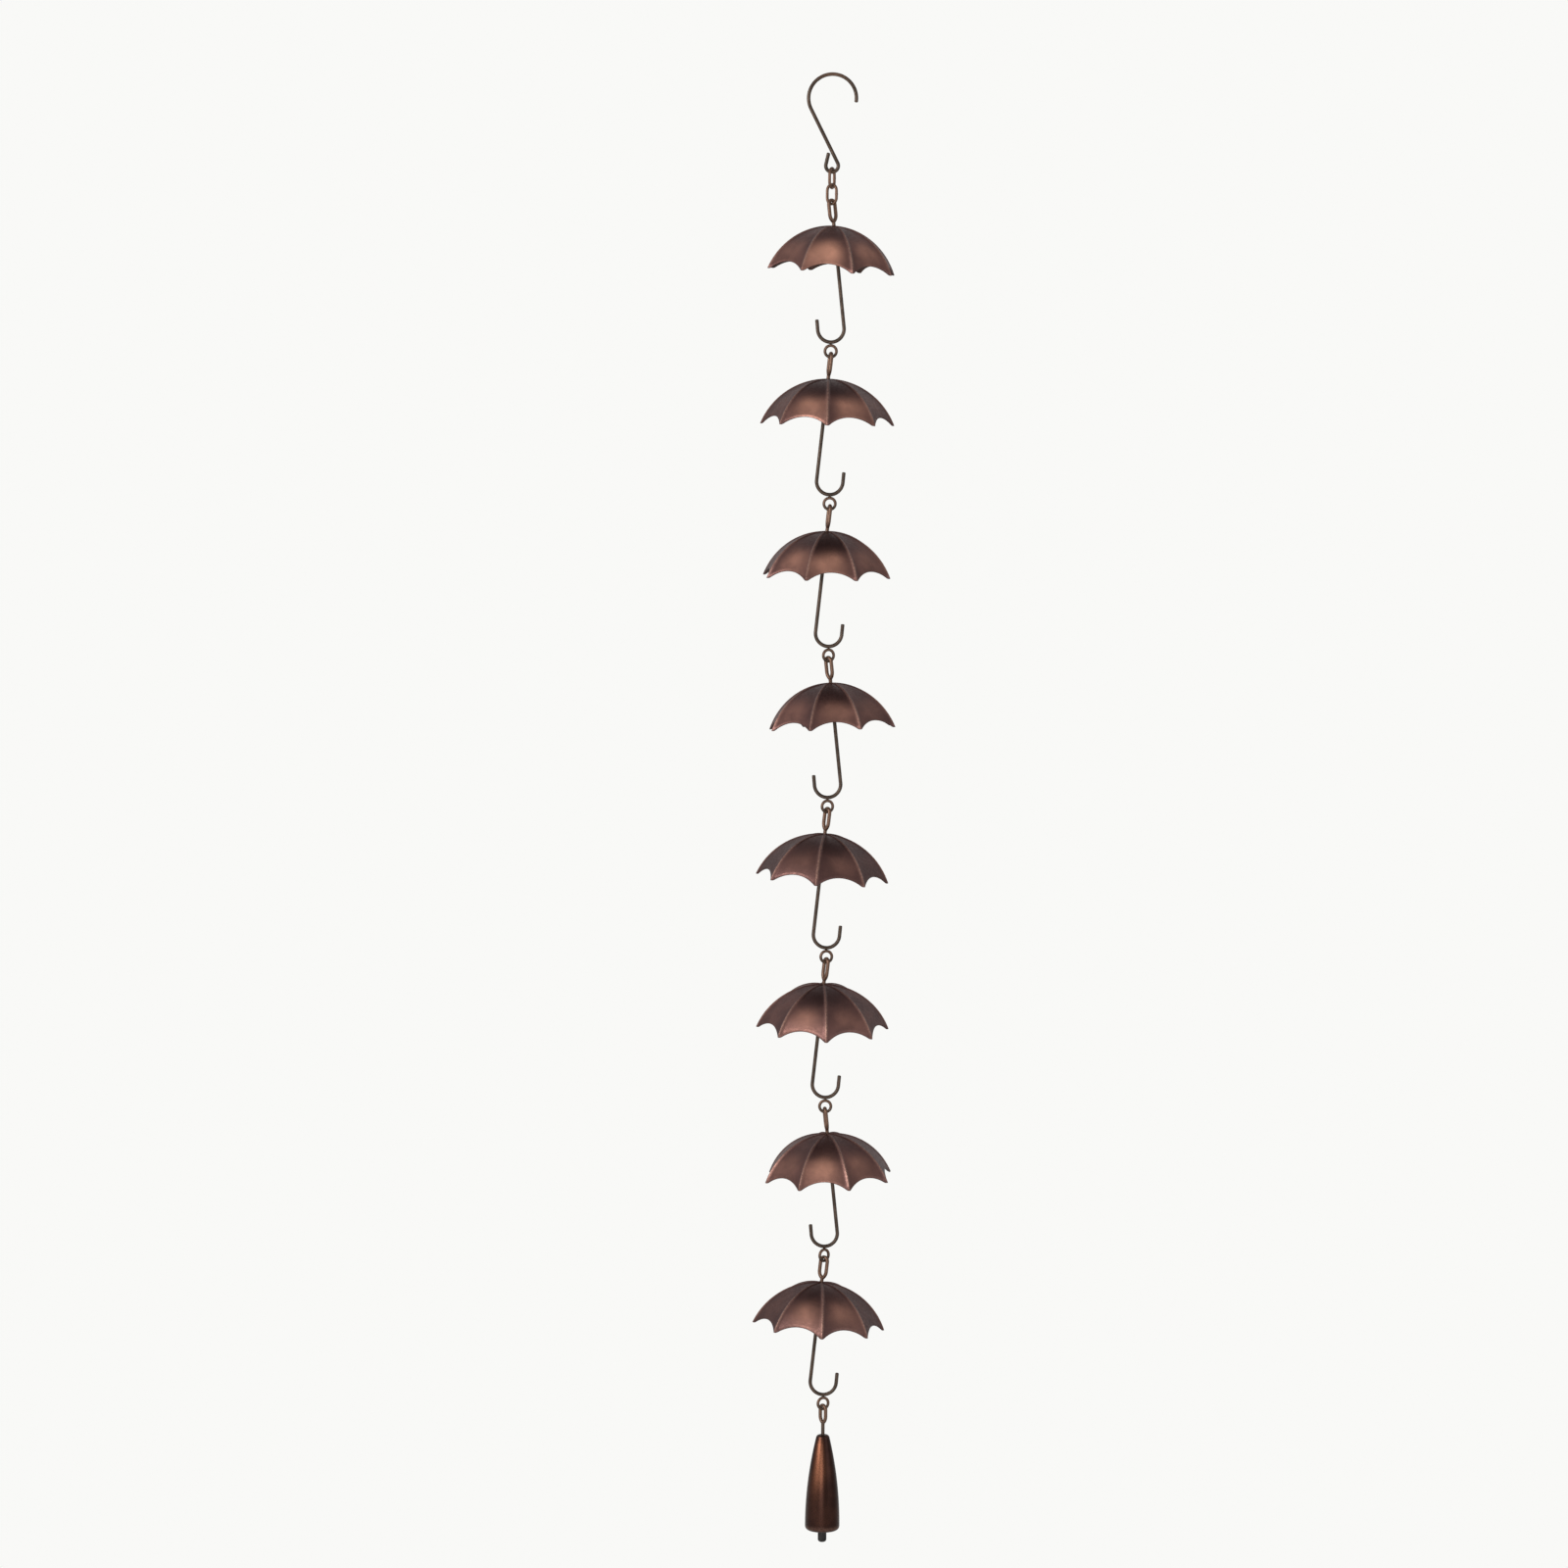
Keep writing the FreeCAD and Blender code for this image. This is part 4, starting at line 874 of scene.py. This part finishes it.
# %% Set the pieces against the solids
def piece_box(piece):
    """Lowest and highest corner of a piece's own vertices."""
    flat = np.empty(len(piece.data.vertices) * 3, np.float32)
    piece.data.vertices.foreach_get("co", flat)
    points = flat.reshape(-1, 3)
    return np.array([points.min(axis=0), points.max(axis=0)])


stand_ins = {"s_hook": "s_hook_wire", "upper_link_1": "upper_link_1_wire",
             "upper_link_2": "upper_link_2_wire", "bell": "bell_shell", "bell_wire": "bell_wire_bent",
             "clapper_wire": "clapper_hanger", "clapper": "clapper_striker"}
for number in range(1, UMBRELLAS + 1):
    stand_ins |= {f"handle_{number}": f"handle_{number}_wire", f"canopy_{number}": f"canopy_{number}_sheet",
                  f"ring_{number}": f"ring_{number}_wire"}
differences = {name: np.abs(piece_box(bpy.data.objects[piece]) - np.array(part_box(name))).max() / MM
               for name, piece in stand_ins.items()}
largest = sorted(((round(float(gap), 2), name) for name, gap in differences.items()), reverse=True)[:6]
print("largest differences, mm:", largest)

# %% [markdown]
# ## Floor, background and light
#
# The photograph shows the chain in front of a plain off-white wall. Light from all round would need many
# lamps, so the world does it, in two parts: what the camera sees is the wall's off-white, and what lights
# the chain and shows in its metal is a plain grey room. The floor takes the wall's colour away from the
# chain, so no edge shows behind it, and keeps a soft shadow under it. Two large soft lamps, the stronger
# one on the left, give the canopies their form, and a weak one low in front lightens the undersides.

# %% World
WALL = rgb(0.947, 0.947, 0.93)


def seen_directly(tree):
    """1 for what the camera sees, and 0 for light on its way to a surface."""
    return node(tree, "ShaderNodeLightPath").outputs["Is Camera Ray"]


world = bpy.data.worlds.new("pale_wall")
bpy.context.scene.world = world
world.use_nodes = True
tree = world.node_tree
light_in_room = node(tree, "ShaderNodeBackground", Color=rgb(1.0, 1.0, 1.0), Strength=0.45)
wall_seen = node(tree, "ShaderNodeBackground", Color=WALL, Strength=1.0)
both = node(tree, "ShaderNodeMixShader", i0=seen_directly(tree),
            i1=light_in_room.outputs[0], i2=wall_seen.outputs[0])
tree.links.new(both.outputs[0], tree.nodes["World Output"].inputs["Surface"])
print("world:", world.name)

# %% Floor
FLOOR_Z, FLOOR_REACH = -1.42, 3.0
corner = FLOOR_REACH * np.array([(-1, -1), (1, -1), (1, 1), (-1, 1)], float)
floor_mesh = bpy.data.meshes.new("floor")
floor_mesh.from_pydata(np.column_stack([corner, np.full(4, FLOOR_Z)]).tolist(), [], [(0, 1, 2, 3)])
floor = bpy.data.objects.new("floor", floor_mesh)
bpy.context.scene.collection.objects.link(floor)
pale_floor = bpy.data.materials.new("pale_floor")
pale_floor.use_nodes = True
tree = pale_floor.node_tree
shader = tree.nodes["Principled BSDF"]
shader.inputs["Base Color"].default_value = rgb(0.86, 0.86, 0.845)
shader.inputs["Roughness"].default_value = 0.9
glow = node(tree, "ShaderNodeEmission", Color=WALL, Strength=1.0)
place = node(tree, "ShaderNodeTexCoord")
across_floor = node(tree, "ShaderNodeVectorMath", {"operation": "MULTIPLY"},
                    i0=place.outputs["Object"], i1=(1, 1, 0))
away = node(tree, "ShaderNodeVectorMath", {"operation": "LENGTH"}, i0=across_floor.outputs[0])
fade = remap(tree, away.outputs["Value"], 0.15, 0.6, 0.6, 1.0)
share = math_node(tree, "MULTIPLY", fade, seen_directly(tree))
joined = node(tree, "ShaderNodeMixShader", i0=share, i1=shader.outputs[0], i2=glow.outputs[0])
tree.links.new(joined.outputs[0], tree.nodes["Material Output"].inputs["Surface"])
floor_mesh.materials.append(pale_floor)
print("the floor lies %.2f m below the hang point" % -FLOOR_Z)

# %% Lamps
def soft_lamp(name, place, aim, size, watts):
    """A square area lamp at a place, turned to face a point."""
    data = bpy.data.lights.new(name, "AREA")
    data.size = size
    data.energy = watts
    lamp = bpy.data.objects.new(name, data)
    lamp.location = place
    direction = np.array(aim, float) - np.array(place, float)
    yaw = math.atan2(direction[1], direction[0])
    pitch = math.atan2(direction[2], math.hypot(direction[0], direction[1]))
    lamp.rotation_euler = (pitch + math.pi / 2, 0, yaw - math.pi / 2)
    bpy.context.scene.collection.objects.link(lamp)
    return lamp


soft_lamp("window_left", (-1.9, -1.6, 0.2), (0, 0, -0.6), 1.6, 43)
soft_lamp("fill_right", (2.1, -1.4, -0.4), (0, 0, -0.65), 1.6, 7.5).data.color = (0.82, 0.91, 1.0)
soft_lamp("low_front", (-0.3, -2.4, -1.25), (0, 0, -0.55), 1.0, 8)
print("lamps:", [lamp.name for lamp in bpy.data.lights])

# %% [markdown]
# ## Camera
#
# The photograph was taken from about four metres, at the height of the second umbrella, with the camera
# tipped down a little and rolled by four tenths of a degree. Those numbers come from setting known points
# of the chain against where the photograph shows them.

# %% Camera
CAMERA_PLACE = (0.0, -4.018, -0.27)
CAMERA_YAW, CAMERA_PITCH, CAMERA_ROLL, CAMERA_ANGLE = -0.512, 4.4, 0.379, 18.222
camera_data = bpy.data.cameras.new("photograph_view")
camera_data.sensor_fit = "HORIZONTAL"
camera_data.angle = math.radians(CAMERA_ANGLE)
camera = bpy.data.objects.new("photograph_view", camera_data)
camera.location = CAMERA_PLACE
camera.rotation_mode = "QUATERNION"
aim = Euler((math.radians(90 - CAMERA_PITCH), 0, math.radians(-CAMERA_YAW))).to_quaternion()
camera.rotation_quaternion = aim @ Euler((0, 0, math.radians(CAMERA_ROLL))).to_quaternion()
bpy.context.scene.collection.objects.link(camera)
bpy.context.scene.camera = camera
bpy.context.scene.view_settings.view_transform = "Standard"
print("camera: %.2f m away, %.1f degrees wide" % (-CAMERA_PLACE[1], CAMERA_ANGLE))
